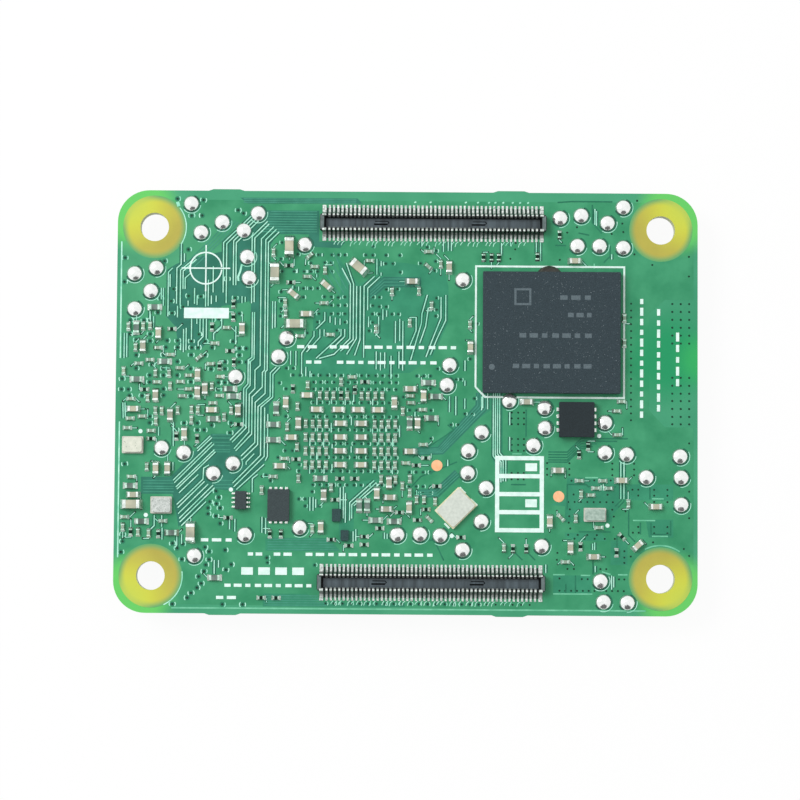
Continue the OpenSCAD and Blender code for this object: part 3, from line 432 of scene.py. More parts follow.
left_tracks = [
    [(-21.45, 14.9), (-21.45, 12.95), (-21.85, 12.6), (-21.85, 9.2)], (-21.15, 14.0, 13.2),
    [(-20.1, 13.6), (-21.5, 12.4), (-21.5, 9.0)], [(-20.0, 13.45), (-21.25, 12.3), (-21.25, 10.6)],
    [(-20.5, 12.15), (-21.05, 11.65), (-21.05, 10.6)], [(-22.25, 12.6), (-22.65, 12.2), (-22.65, 8.0)],
    (-22.48, 12.0, 10.8), (-23.3, 10.7, 9.6), (-23.1, 10.7, 9.0), (-20.15, 10.7, 9.2),
    (-19.1, 11.2, 8.95), (-18.85, 11.5, 9.0), (-18.4, 12.8, 10.3), (-18.55, 10.0, 9.2),
    (-18.1, 10.0, 9.4), (-20.75, 9.5, 9.0), (-19.9, 10.0, 9.1), (-21.75, 9.0, 7.9), (-20.4, 7.8, 5.8),
    (-19.9, 7.8, 7.3), (-19.6, 7.8, 6.5), [(-19.3, 7.8), (-19.3, 6.1), (-19.75, 5.6), (-19.75, 5.2)],
    (-19.0, 7.8, 5.8), [(-17.55, 7.8), (-17.55, 7.1), (-18.3, 6.4), (-18.3, 5.8)], (-21.15, 6.8, 4.6),
    (-20.9, 6.9, 4.8), (-21.4, 5.5, 4.8), (-16.2, 7.1, 5.4), (-26.75, 6.4, 4.0), (-26.5, 6.4, 4.1),
    (-24.35, 8.5, 7.7), (-24.0, 8.0, 6.9), (-15.65, 9.95, 9.3), (-15.35, 9.9, 9.4),
    [(-14.4, 18.05), (-17.45, 15.05), (-17.45, 10.3)], [(-14.3, 17.8), (-17.15, 14.95), (-17.15, 9.3)],
    [(-14.15, 17.55), (-16.5, 15.23), (-16.5, 11.0)], [(-14.0, 17.3), (-16.25, 15.05), (-16.25, 11.0)],
    [(-13.3, 17.1), (-14.75, 15.65), (-14.75, 9.3)], [(-13.15, 16.85), (-14.5, 15.5), (-14.5, 9.4)],
    [(-14.65, 8.45), (-14.65, 4.15), (-15.0, 3.9), (-15.0, 1.65), (-15.4, 1.2), (-15.4, -2.4),
     (-16.65, -3.7)],
    [(-14.45, 8.45), (-14.45, 4.05), (-14.8, 3.75), (-14.8, 1.5), (-15.15, 1.1), (-15.15, -2.55),
     (-16.45, -3.9)],
    [(-12.7, 16.6), (-13.87, 15.43), (-13.87, 3.4), (-14.35, 2.95), (-14.35, 1.2), (-14.87, 0.65),
     (-14.87, -2.9), (-16.25, -4.5)],
    [(-12.45, 16.35), (-13.45, 15.35), (-13.45, 2.95), (-13.65, 2.75), (-13.65, 1.35), (-14.6, 0.4),
     (-14.6, -3.1), (-16.1, -4.7)],
    [(-12.2, 16.1), (-13.2, 15.1), (-13.2, 2.95), (-13.37, 2.8), (-13.37, 0.75), (-14.3, -0.1),
     (-14.3, -3.9), (-15.6, -5.2)],
    [(-12.35, 3.25), (-12.9, 2.7), (-12.9, 0.45), (-14.03, -0.5), (-14.03, -4.1), (-15.5, -5.55)],
    [(-12.0, 3.25), (-12.65, 2.55), (-12.65, 0.4), (-13.75, -0.55), (-13.75, -5.1), (-16.35, -7.75)],
    [(-13.4, -0.6), (-13.4, -5.2), (-16.25, -8.1)], [(-13.1, -1.2), (-13.1, -5.2), (-13.3, -5.6)],
    [(-13.4, -5.95), (-16.0, -8.35)], [(-14.0, -6.9), (-14.5, -7.3), (-14.5, -8.6)],
    [(-14.35, -4.95), (-15.1, -5.75), (-15.1, -6.0)], (-12.75, 9.5, 6.9), (-12.5, 9.5, 7.0),
    [(-18.5, -3.3), (-19.75, -4.5)], [(-18.35, -3.45), (-19.7, -4.75)],
    [(-18.35, -3.9), (-21.95, -7.5)], [(-18.15, -4.05), (-21.85, -7.75)],
    [(-18.1, -4.6), (-21.7, -8.15)], [(-18.0, -4.8), (-21.6, -8.35)], [(-19.6, -6.95), (-21.4, -8.7)],
    [(-18.6, -6.05), (-19.1, -6.35), (-19.15, -7.4), (-21.6, -9.8)], [(-19.0, -7.6), (-21.5, -10.1)],
    [(-18.65, -7.85), (-21.45, -10.65)], [(-18.2, -7.95), (-21.35, -11.1)],
    [(-18.05, -8.2), (-21.3, -11.45)], [(-18.85, -9.5), (-21.15, -11.8)], (-22.0, -2.0, -4.3),
    (-22.0, -5.8, -6.6), (-23.4, -2.5, -3.3), [(-26.8, -0.2), (-26.75, -1.7)],
    [(-26.6, -0.2), (-26.55, -1.6)], [(-21.55, -12.8), (-21.55, -13.6), (-21.7, -13.85)],
    (-21.1, -12.6, -13.5), (-22.95, -12.0, -13.1), [(-23.7, -10.8), (-23.7, -11.8), (-24.1, -12.2)],
    (-23.0, -10.8, -11.9), (-16.6, -11.1, -12.1), (-16.1, -11.1, -12.3), (-18.0, -15.0, -16.3),
    (-17.6, -15.0, -15.7), (-13.55, -10.9, -12.4), (-13.2, -11.0, -12.5),
]
print("tracks on the left:", len(left_tracks))

# %% Bright tracks in the middle
middle_tracks = [
    [(-6.2, 12.7), (-5.4, 11.2), (-5.4, 6.0), (-6.9, 4.5), (-8.3, 4.1)],
    [(-5.8, 13.2), (-5.1, 11.2), (-5.1, 5.9), (-6.3, 4.8)], [(-4.8, 11.0), (-4.8, 6.0), (-5.7, 4.5)],
    [(-4.45, 11.0), (-4.45, 5.9), (-4.95, 4.4)], [(-3.1, 11.95), (-4.1, 11.0), (-4.1, 4.2)],
    [(-2.6, 11.9), (-3.75, 10.8), (-3.75, 8.7)], (-2.9, 13.6, 12.1), (-2.5, 13.4, 12.9),
    [(-7.8, 8.5), (-7.8, 7.7), (-8.6, 6.9)], (-7.3, 8.1, 7.5), (-6.8, 8.0, 7.3), (-6.35, 7.9, 7.3),
    [(-5.9, 6.9), (-5.9, 6.2), (-7.1, 5.0)], [(-8.8, 6.7), (-8.8, 6.2), (-9.95, 4.6), (-9.95, 2.6)],
    [(-8.25, 6.85), (-8.25, 6.1), (-9.5, 4.7)], (-7.85, 6.85, 6.2),
    [(-6.25, 6.9), (-6.25, 6.3), (-8.6, 4.1)], (-9.55, 3.3, 2.4), (-9.15, 2.9, 2.3), (-10.5, 4.8, 3.4),
    (-11.0, 4.8, 3.5), (-3.65, 8.1, 7.1), [(-2.7, 8.1), (-2.7, 6.6), (-3.0, 6.3)], (-2.3, 8.8, 7.8),
    (-1.95, 8.7, 8.1), (-1.1, 7.7, 5.6), (-0.7, 7.9, 5.8), (-0.4, 7.7, 3.0), (-2.9, 4.8, 3.1),
    (-2.5, 4.7, 3.0), (-2.1, 4.7, 3.2), (-1.5, 4.4, 2.2), (-0.75, 4.8, 3.2),
    [(3.65, 10.2), (3.65, 7.8), (2.9, 6.2), (2.2, 4.5)],
    [(3.2, 10.0), (3.2, 8.0), (2.3, 5.7), (1.8, 4.3)],
    [(1.9, 10.2), (1.4, 8.4), (1.35, 7.5), (0.35, 4.0)], [(2.0, 9.0), (1.75, 7.2), (1.2, 5.6)],
    [(0.85, 8.1), (0.85, 6.8), (0.25, 5.3)], (5.5, 4.0, 3.0), (5.5, 2.1, 1.6), (1.35, 15.3, 14.8),
    (3.4, 15.3, 14.3), (3.85, 15.3, 14.4), (4.15, 15.3, 14.4), (8.9, 15.2, 14.0), (9.75, 15.3, 14.9),
    (12.2, 15.3, 14.2), (12.6, 15.3, 13.5),
]
print("tracks in the middle:", len(middle_tracks))

# %% Bright tracks on the right and the near side
other_tracks = [
    [(8.2, 1.0), (8.2, -5.0), (8.75, -5.8), (8.75, -7.5)],
    [(8.4, 1.0), (8.4, -4.9), (8.95, -5.6), (8.95, -7.5)],
    [(8.6, 1.0), (8.6, -4.8), (9.15, -5.5), (9.15, -7.4)],
    [(8.8, 1.0), (8.8, -4.7), (9.4, -5.4), (9.4, -7.4)], (7.65, 1.0, -0.6), (7.2, 0.95, -0.5),
    (20.25, -5.5, -9.0), (20.55, -5.5, -9.0), (-9.05, -9.0, -10.3), (-8.75, -9.0, -10.3),
    (-8.5, -9.2, -10.0), (-6.2, -8.1, -10.4), (-5.9, -8.0, -11.0), (-5.7, -8.6, -11.4),
    [(-3.0, -7.4), (-5.3, -9.5), (-5.3, -11.2)], [(-2.8, -7.6), (-5.1, -9.7), (-5.1, -11.0)],
    [(-2.5, -7.7), (-4.9, -9.8)], (-4.95, -12.2, -13.2), (-4.7, -12.0, -13.1), (-2.0, -12.3, -12.9),
    (-1.75, -12.4, -12.9), (4.05, 0.6, -0.9), (4.65, 0.6, -1.2), (5.5, 0.4, -0.6), (7.1, 0.6, -0.7),
    (3.92, -5.4, -6.0), (0.8, -0.9, -1.5), (9.75, -0.85, -2.1), (9.75, -3.2, -4.5), (17.75, 18.5, 17.0),
    (17.9, 18.3, 16.9), (19.35, 14.2, 13.7), (17.6, -13.2, -13.8), (17.8, -13.1, -13.8),
    (17.85, -15.3, -15.9), (19.4, -16.2, -17.5), (19.6, -16.3, -17.3), (18.4, -7.7, -8.2),
    (18.6, -7.6, -8.2), (13.2, -15.2, -16.0), (-8.1, 14.1, 13.8), (-10.45, 12.6, 12.2),
    (-9.45, 12.5, 12.2), (-8.6, 12.1, 11.8), (-9.45, 10.9, 10.6), (-10.3, 10.9, 10.5),
    (-10.85, 11.0, 10.7), (-2.5, 12.3, 12.0),
]
upright_dashes = [
    (-8.4, -2.2, -2.8), (-9.1, -3.4, -4.2), (-7.8, -3.5, -4.3), (-8.45, -4.8, -5.5), (-7.1, -2.0, -2.9),
    (-7.0, -4.0, -4.4), (-5.2, -1.4, -2.2), (-5.2, -4.2, -4.8), (-3.2, -2.5, -3.0), (-1.95, -2.3, -2.8),
    (-2.6, -3.4, -4.0), (-1.3, -3.4, -4.2), (-1.9, -4.8, -5.6), (-0.65, -2.2, -3.3), (-9.1, -6.0, -6.8),
    (-7.75, -6.0, -6.8), (-7.0, -5.9, -6.5), (-2.6, -6.0, -6.6), (-1.3, -6.0, -6.8), (-8.47, 0.4, -0.3),
    (-7.1, 0.3, -0.2), (-5.8, 0.35, -0.3), (-5.0, 1.5, 0.0), (-3.2, 0.3, -0.3),
]
bright_paths = paths_from(left_tracks + middle_tracks + other_tracks + upright_dashes)
print("bright tracks in all:", len(bright_paths))

# %% Faint cross tracks, and all tracks as pieces
cross_paths = [[(-13.0 - 0.1 * k, 18.05 - 0.24 * k), (-8.6, 18.05 - 0.24 * k)] for k in range(9)]
cross_paths += [[(-15.6, 19.25 - 0.17 * k), (-4.9, 19.25 - 0.17 * k)] for k in range(3)]
cross_paths += [[(-24.8, y), (-21.9, y)] for y in (-7.55, -7.8, -8.1, -8.3, -8.6)]
cross_paths += [[(-18.3, y), (-16.6, y)] for y in (-3.2, -3.5, -3.9, -4.2, -4.6, -4.8)]
cross_paths += [[(-18.0, y), (-16.3, y)] for y in (-7.5, -7.9, -8.2)]
cross_paths += [[(-13.3, -18.3 - 0.22 * k), (-8.2 + 0.2 * k, -18.3 - 0.22 * k)] for k in range(5)]
cross_paths += [[(7.45 - 0.24 * k, 0.9), (7.45 - 0.24 * k, -0.55 + 0.1 * k),
                 (3.4 - 0.12 * k, -4.72 + 0.12 * k), (1.0, -4.85 + 0.12 * k)] for k in range(4)]
cross_paths += [[(4.75 + 0.1 * k, -6.5 - 0.2 * k), (2.75 + 0.1 * k, -8.35 - 0.2 * k),
                 (1.1, -8.4 - 0.2 * k)] for k in range(3)]
cross_paths += [[(-13.0, -13.0 - 0.24 * k), (-7.3 + 0.25 * k, -13.0 - 0.24 * k)] for k in range(5)]
cross_paths += [[(-3.5, 10.5 - 0.3 * k), (-2.2, 11.7 - 0.3 * k), (1.2, 11.7 - 0.3 * k)] for k in range(3)]
cross_paths += [[(-5.5 - 0.25 * k, 11.1 - 0.4 * k), (-7.0 - 0.3 * k, 14.1 - 0.6 * k)] for k in range(4)]
cross_paths += [[(-21.6 + 0.28 * k, 12.5 - 0.1 * k), (-18.5 + 0.28 * k, 15.5 - 0.1 * k),
                 (-16.9 + 0.28 * k, 17.3 - 0.1 * k)] for k in range(4)]
# dark mask where copper is cleared beside tracks, also used for the painted shadow at each dome's foot
gap_and_shadow_mask = mask("mask_in_track_gaps_and_shadows", "155C47", "206C55", 0.9)
track_wide, gap_wide, track_foot = 0.10, 0.34, 0.010
on_mask("track_gaps", [track(p, gap_wide) for p in bright_paths], gap_and_shadow_mask)
# painted highlight on the tracks whose edges face the light
on_mask("painted_track_highlights", [track(p, track_wide) for p in bright_paths], pale_track_and_highlight, foot=track_foot)
on_mask("cross_tracks", [track(p, track_wide) for p in cross_paths], unlit_track, foot=track_foot)

# %% [markdown]
# The right half has more copper and fewer tracks. There the sheets of ground copper part
# along narrow dark seams, and a bundle of dark tracks leads past the power switch.

# %% Seams in the copper
seam_paths = paths_from([
    [(20.3, -5.6), (20.3, -9.1), (19.7, -9.7)], [(20.55, -5.6), (20.55, -9.2), (20.0, -9.8)],
    (20.8, -7.8, -9.0), [(15.2, -7.65), (17.0, -7.65), (17.2, -7.85), (19.8, -7.85)],
    (15.2, -7.6, -10.0), (23.0, -7.9, -9.0), [(21.0, -10.0), (21.0, -12.4), (21.6, -13.0)],
    (22.1, -11.2, -12.3), [(23.1, -11.2), (23.1, -12.3), (24.9, -12.3)], (24.95, -11.0, -12.4),
    (17.65, -14.8, -16.1), (19.9, -12.4, -13.6), (16.0, -16.2, -18.0), (15.1, -17.0, -17.9),
    [(19.3, -12.1), (16.3, -12.1)], [(10.2, -14.0), (11.0, -14.8)], [(11.4, -14.0), (12.2, -14.8)],
    [(1.8, -13.0), (2.7, -13.0), (3.6, -14.9)], [(17.5, 18.9), (17.5, 17.2), (18.4, 16.2)],
    [(14.2, 19.1), (15.6, 19.2), (19.4, 19.2)], [(15.0, 15.0), (14.0, 15.0)],
    [(16.2, 16.2), (17.2, 16.0)], [(19.2, 15.0), (19.2, 14.0), (18.6, 13.4)],
    [(3.9, -2.1), (4.5, -2.6), (0.6, -5.2)], [(0.3, -8.2), (1.4, -7.0), (4.8, -5.6)],
    (11.3, -0.6, -3.2), [(10.0, -5.2), (11.9, -5.2)], [(9.9, -7.7), (11.3, -7.7)],
])
for y, reach in ((-4.6, 20.9), (-4.85, 19.9), (-5.1, 18.0), (-5.35, 17.6), (-5.55, 16.9)):
    seam_paths.append([(13.4, y), (15.2, y), (16.5, y + 1.3), (reach, y + 1.3)])
seam_paths += [[(2.6 + 0.25 * k, -9.0 + 0.12 * k), (5.4 + 0.25 * k, -6.3 + 0.12 * k)] for k in range(3)]
seam_mask = mask("mask_in_seams", "1B6D50", "287D5F", 0.9)
rim_wide = 0.13
on_mask("copper_seams", [track(p, rim_wide) for p in seam_paths], seam_mask)

# %% [markdown]
# The rim of the ground copper and the arcs beside the screw holes are the same thin
# mask over an edge, drawn a little wider. Those on the left and along the far edge get a
# painted highlight, as if they caught more light: they take the finish of the bright tracks.

# %% Rims of the ground copper
soft_rim = mask("mask_on_copper_rims", "5DB78E", "7CCDA8", 0.9, shine=0.3)
left_rims_and_highlights = [
    track([(-pour_x, 15.1), (-pour_x, 4.0)], rim_wide), track([(-pour_x, -2.0), (-pour_x, -14.8)], rim_wide),
    track(arc(-hole_x, hole_y, bare_r, 38, -32), 0.10), track(arc(-hole_x, -hole_y, bare_r, 8, -65), 0.10),
    track([(-15.7, 13.0), (-15.85, 12.3), (-16.05, 11.8), (-16.0, 11.4)], 0.18),
    bar(-21.8, 18.7, 0.3, 0.45, 20),
]
left_rims_and_highlights += [bar(x, 19.03, 0.2, 0.13, 25) for x in (0.7, 2.15, 5.5, 6.65, 7.7, 8.3, 9.05, 9.95, 10.65, 11.4)]
rims = [track([(-22.0, -19.5), (22.6, -19.5)], 0.15), track(arc(hole_x, -hole_y, 3.15, 55, 118), 0.14)]
rim_paths = [
    [(21.4, -11.0), (23.5, -11.0)], [(13.9, -16.15), (15.0, -16.15)], [(16.5, -16.2), (17.4, -16.2)],
    [(13.9, -17.95), (17.6, -17.95)], [(20.0, -16.12), (20.9, -16.12)], [(18.5, -15.85), (19.3, -16.1)],
    [(23.2, -12.48), (24.7, -12.48)], [(16.9, -7.0), (18.1, -7.0)], [(23.2, -8.95), (24.3, -8.95)],
    [(10.0, -4.8), (10.9, -4.8)], [(17.7, 13.3), (17.7, 12.8)],
]
rims += [track(p, rim_wide) for p in rim_paths]
# the rims on the left and far edge carry the painted highlight of the bright tracks
on_mask("left_copper_rims_and_highlights", left_rims_and_highlights, pale_track_and_highlight)
on_mask("copper_rims", rims, soft_rim)

# %% [markdown]
# A via is a plated hole with mask over it, which sags in and looks dark. Each is a small
# cone frustum of ten sides, sunk in the mask, with its dark cap at the surface. Those on
# the left of the board are a little wider. Vias that stand in rows and grids are loops.

# %% Vias on the left
# the darker disc round each via is painted shade of the mask's dip
sink_shade_mask = mask("painted_shade_round_vias", "1F7355", "2C8262", 0.6)
via_dark = mask("mask_over_vias", "04301F", "0C4430", 0.3, rough=0.35, bump=0.004, bump_grain=0.1)
left_vias = [
    (-21.87, 19.2), (-20.5, 17.6), (-19.5, 17.62), (-16.1, 18.15), (-15.6, 17.85), (-26.77, 13.55),
    (-23.03, 13.25), (-26.8, 11.25), (-20.78, 14.37), (-17.07, 11.6), (-22.15, 10.6), (-19.4, 19.1),
    (-20.7, 9.95), (-19.55, 9.9), (-22.35, 9.45), (-23.35, 9.7), (-21.2, 8.9), (-22.25, 8.3),
    (-15.9, 8.3), (-16.3, 9.8), (-18.45, 7.7), (-17.85, 7.8), (-19.7, 6.3), (-20.4, 5.65),
    (-19.1, 5.65), (-16.45, 5.65), (-20.35, 5.05), (-19.75, 5.05), (-18.45, 5.05), (-15.85, 5.0),
    (-15.2, 5.0), (-20.4, 4.35), (-19.1, 4.35), (-15.85, 4.35), (-15.85, 3.7), (-17.2, 3.7),
    (-15.2, 3.7), (-17.2, 3.05), (-26.25, 6.3), (-24.3, 6.3), (-25.6, 5.75), (-24.3, 5.65),
    (-22.7, 5.7), (-21.7, 5.7), (-22.8, 5.05), (-21.7, 5.05), (-25.6, 4.3), (-23.0, 4.35), (-21.7, 3.7),
    (-24.1, 3.4), (-25.6, 3.05), (-23.0, 3.05), (-20.45, 3.05), (-18.5, 3.0), (-24.3, 2.4),
    (-23.0, 2.4), (-21.7, 2.4), (-26.9, 2.05), (-24.3, 1.75), (-20.4, 1.8), (-17.8, 1.75),
    (-17.2, 1.75), (-26.3, 1.05), (-26.95, 1.05), (-23.0, 1.1), (-17.8, 1.1), (-26.2, 0.45),
    (-25.0, 0.45), (-22.95, 0.5), (-20.4, 0.45), (-26.2, 7.6), (-24.9, 7.6), (-24.3, 7.6),
    (-23.6, 8.35), (-24.25, -2.1), (-24.25, -1.5), (-20.4, -2.2), (-21.0, -2.1), (-19.75, -2.1),
    (-19.75, -2.75), (-19.1, -2.75), (-21.75, -2.75), (-16.55, -2.05), (-16.65, -3.0), (-18.4, -2.3),
    (-26.55, -6.0), (-17.9, -8.5), (-17.65, -9.1), (-18.5, -9.5), (-17.85, -9.7), (-18.65, -10.1),
    (-17.5, -10.1), (-18.65, -10.65), (-17.9, -10.85), (-17.5, -11.55), (-26.65, -12.65),
    (-26.65, -13.3), (-26.8, -14.3), (-21.0, -13.5), (-21.95, -13.45), (-21.5, -13.9), (-21.05, -14.95),
    (-18.9, -13.8), (-18.5, -14.2), (-17.0, -14.05), (-18.5, -14.95), (-18.8, -15.45), (-18.95, -16.05),
    (-16.4, -15.4), (-16.9, -15.9), (-19.45, -16.55), (-19.2, -17.2), (-19.6, -17.6), (-20.15, -18.1),
    (-20.5, -18.55), (-21.9, -19.15), (-17.2, -19.15), (-15.3, -19.15), (-13.05, -14.75),
    (-13.0, -15.2), (-8.55, -15.4),
]
print("vias on the left:", len(left_vias))

# %% Vias in the middle and on the right
middle_vias = [
    (-11.9, 15.1), (-12.0, 13.55), (-10.4, 14.0), (-8.45, 13.95), (-7.2, 13.95), (-6.55, 13.95),
    (-5.95, 13.95), (-9.15, 13.15), (-7.85, 13.2), (-7.25, 13.2), (-11.85, 12.35), (-10.75, 12.35),
    (-9.8, 12.35), (-9.15, 12.35), (-8.5, 12.35), (-7.2, 12.35), (-3.3, 14.8), (-3.95, 13.95),
    (-3.3, 13.95), (-2.05, 13.95), (-0.75, 13.95), (-2.05, 13.15), (-1.4, 13.15), (-0.7, 12.35),
    (-10.7, 10.8), (-9.85, 10.75), (-9.15, 10.75), (-8.5, 10.75), (-11.95, 10.4), (-2.0, 10.7),
    (-0.95, 10.75), (-11.9, 9.55), (-11.95, 8.8), (-12.0, 8.1), (-9.85, 9.9), (-7.85, 9.95),
    (-7.2, 9.95), (-6.55, 9.9), (-5.9, 9.95), (-7.2, 9.15), (-6.55, 9.15), (-5.9, 9.15), (-8.35, 8.35),
    (-7.2, 8.35), (-6.55, 8.35), (-5.9, 8.35), (-5.9, 7.55), (-8.5, 7.55), (-6.65, 6.75), (-9.45, 6.5),
    (-3.25, 9.95), (-2.65, 9.95), (-3.25, 9.15), (-2.65, 9.05), (-2.0, 9.05), (-3.3, 8.35),
    (-2.65, 8.35), (-1.45, 8.35), (-0.85, 8.35), (-3.25, 7.55), (-3.6, 6.75), (-11.4, 3.15),
    (-10.75, 3.15), (-10.75, 2.5), (-10.1, 2.5), (-12.05, 1.75), (-11.4, 1.2), (-0.3, 0.5),
    (-11.4, -1.4), (-10.75, -4.65), (-11.4, -4.65), (-12.1, -5.3), (-10.1, -5.95), (-13.2, -7.0),
    (-12.8, -7.5), (-8.85, -8.5), (-10.1, -9.2), (-9.5, -9.2), (-8.15, -9.85), (-9.5, -9.85),
    (-10.1, -6.55),
]
right_vias = [
    (1.85, 14.75), (2.7, 14.4), (2.65, 13.4), (1.25, 13.2), (2.55, 12.5), (7.8, 15.05), (10.25, 15.2),
    (10.2, 14.6), (9.75, 13.7), (2.75, 9.9), (2.8, 8.8), (2.7, 8.2), (6.6, 7.5), (6.0, 4.15),
    (2.9, 3.2), (0.95, 2.5), (1.6, 2.5), (2.25, 2.5), (4.65, 2.2), (5.1, 2.2), (2.25, 1.3), (6.4, 0.4),
    (2.3, -3.4), (4.2, -2.1), (4.9, -2.1), (5.5, -1.05), (6.2, -1.05), (21.75, 19.32), (20.35, 17.13),
    (20.45, 16.32), (19.35, 16.13), (16.05, 16.75), (15.13, 16.23), (14.43, 13.63), (21.5, 14.2),
    (23.2, 13.2), (26.67, 14.0), (26.67, 12.13), (21.35, -8.1), (21.9, -8.1), (21.9, -8.65),
    (26.7, -8.25), (26.7, -3.7), (15.25, -15.6), (15.85, -15.6), (18.35, -15.6), (18.9, -15.6),
    (14.5, -16.5), (16.6, -16.55), (17.15, -16.55), (20.1, -16.55), (20.6, -16.55), (23.3, -13.05),
    (26.2, -13.65), (26.7, -14.3), (26.7, -10.75), (21.4, -12.15), (21.95, -12.15), (21.9, -11.6),
]
print("vias in the middle and on the right:", len(middle_vias), len(right_vias))

# %% Vias in rows and grids
via_spots = left_vias + middle_vias + right_vias
via_spots += [(-8.8 + 0.65 * k, y) for k in range(13)
              for y in (2.5, 1.85, 1.2, -0.08, -1.4, -2.65, -3.95, -5.25, -6.55, -7.85)]
via_spots += [(x, y) for x in (9.95, 10.55, 11.1) for y in (-0.9, -1.45, -2.0, -3.4, -3.95, -4.5, -6.6, -7.2)]
via_spots += [(x, y) for x in (0.3, 0.95, 1.6, 2.3) for y in (-0.75, -1.4, -6.6, -7.95, -8.55)]
via_spots += [
    (15.6, -7.3), (17.2, -7.3), (17.75, -7.25), (19.3, -7.25), (15.8, -8.6), (19.0, -8.6), (15.45, -10.0),
    (19.45, -10.0), (15.4, -10.65), (19.6, -10.65), (15.35, -11.25), (15.5, -11.8), (19.55, -11.65),
    (20.7, -10.15), (14.3, -14.1), (14.25, -14.75), (21.2, -14.4),
]
via_spots += [(21.2, 9.5 - 0.65 * k) for k in range(18)]
via_spots += [(x, y) for x in (25.1, 25.9, 26.7)
              for y in (9.5, 8.75, 8.0, 7.25, 6.5, 5.75, 2.5, 1.75, 1.0, 0.3, -0.45, -1.2, -1.9)]
via_spots += [(x, y) for x in (13.3, 15.4, 19.45, 21.5) for y in (-5.65, -6.2, -6.75)]
via_spots += [(x, y) for x in (23.4, 24.65) for y in (-8.1, -8.65, -9.25, -11.6, -12.2)]
via_spots += [(15.3 + 0.6 * k, -9.3) for k in range(8)] + [(15.3 + 0.9 * k, -12.4) for k in range(4)]
via_spots += [(15.9 + 0.95 * k, -12.75) for k in range(5)] + [(14.5 + 0.55 * k, -17.65) for k in range(12)]
via_spots += [(20.6, -13.9), (20.6, -14.5), (20.6, -15.0)] + [(-7.5 + 0.8 * k, -19.0) for k in range(25)]
print("vias in all:", len(via_spots))

# %% Vias as pieces
wide_vias_end = -13.0
via_r, wide_via_r, via_deep, via_lift = 0.12, 0.15, 0.034, 0.004

def via_caps(name, spots, level):
    bm = bmesh.new()
    for x, y in spots:
        spot, wide = Matrix.Translation((x, y, level)), wide_via_r if x < wide_vias_end else via_r
        bmesh.ops.create_cone(bm, cap_ends=True, segments=10, radius1=wide, radius2=0.8 * wide,
                              depth=via_deep, matrix=spot)
    keep_piece(name, bm, via_dark)

via_caps("vias_top", via_spots, top)
via_caps("vias_under", via_spots, under)

# %% [markdown]
# Mask sinks a little round a via. Its dip is painted as a darker disc of shade, and the
# light that the ring of copper there catches on one side is painted as a pale crescent of
# highlight. Only the left two thirds of the board show them, where the light comes in lowest.

# %% Painted shade and highlight beside the vias
crescents_end = 7.0
crescent_glints, sink_shades = [], []
for i, (x, y) in enumerate(via_spots):
    if x > crescents_end:
        continue
    side, half = (0, 8, 180, 0, -8, 180, 4)[i % 7], (48, 40, 44)[i % 3]
    reach, wide = (0.29, 0.095) if x < wide_vias_end else (0.24, 0.075)
    sink_shades.append(round_spot(x, y, reach - 0.04, 10))
    crescent_glints.append(track(arc(x, y, reach, side - half, side + half, 4), wide))
    if x < wide_vias_end and i % 2:
        crescent_glints.append(track(arc(x, y, reach, side + 145, side + 215, 4), wide))
on_mask("via_sink_shades", sink_shades, sink_shade_mask)
# the pale crescents are painted highlight
on_mask("via_crescent_glints", crescent_glints, pale_track_and_highlight)

# %% [markdown]
# White ink is screen-printed over the mask: a frame round the flash memory, corner marks,
# pin-one dots, a block to write on, a ladder and rows of plain dashes. Ink stands a few
# hundredths of a millimetre proud, so it is a raised sheet like the rest.

# %% Ink, dashes and frames
print_white = mottled("white_print", "D2F0E6", "ECFFF9", 0.5, 0.6, bump=0.006, bump_grain=0.08)

def dashes(start, end, across, upright=False, size=0.30, pitch=1.0):
    count = max(int(round((end - start) / pitch)), 1)
    step = (end - start) / count
    spots = [(start + (i + 0.5) * step, step * (0.62, 0.78, 0.5)[i % 3]) for i in range(count)]
    if upright:
        return [bar(across, s, size, length) for s, length in spots]
    return [bar(s, across, length, size) for s, length in spots]

def open_frame(x0, y0, x1, y1, width):
    half = width / 2
    across = [track([(x0 - half, y), (x1 + half, y)], width) for y in (y0, y1)]
    return across + [track([(x, y0 + half), (x, y1 - half)], width) for x in (x0, x1)]

# %% White print
line_wide = 0.18
flash_frame = (
    [(6.5, 1.5), (6.5, 12.96), (20.54, 12.96), (20.54, 8.6)], [(20.54, 7.65), (20.54, 6.2)],
    [(20.54, 5.3), (20.54, 0.54), (10.4, 0.54)], [(9.1, 0.56), (7.4, 0.56), (6.5, 1.5)],
)
print_marks = [track(p, line_wide) for p in flash_frame] + [bar(-19.0, 8.33, 4.25, 1.0)]
print_marks += [bar(5.33, -8.28, 0.8, line_wide, -45), bar(6.42, -9.4, 0.88, line_wide, -43),
                bar(3.88, -11.62, 0.65, line_wide, -45)]
pin_dots = ((18.2, -3.05), (-16.5, -8.36), (-25.1, -2.9), (-24.5, -10.8), (4.33, -12.58), (19.0, -11.5))
print_marks += [round_spot(x, y, 0.2) for x, y in pin_dots]
print_rows = ((-10.6, -8.4, 5.2), (-7.5, -5.4, 5.2), (-4.2, 4.9, 5.2), (-9.7, -8.0, 3.75), (-6.8, 3.0, 3.75),
              (-15.0, -13.4, -14.4), (-12.6, -10.6, -14.4), (-9.6, 2.8, -14.4), (-17.2, -8.6, -17.35),
              (-18.0, -15.8, -18.5), (-19.5, -16.1, -13.1))
print_columns = ((-1.5, 10.2, 22.2), (-0.9, 9.2, 23.8), (1.5, 6.9, 25.6))
for start, end, across in print_rows:
    print_marks += dashes(start, end, across)
for start, end, across in print_columns:
    print_marks += dashes(start, end, across, upright=True)
print_marks += open_frame(8.6, -12.0, 12.8, -5.2, 0.4) + [bar(10.7, y, 3.8, 0.4) for y in (-6.9, -8.6, -10.3)]
print_marks += [bar(11.8, y, 1.1, 0.75) for y in (-6.05, -9.45)]
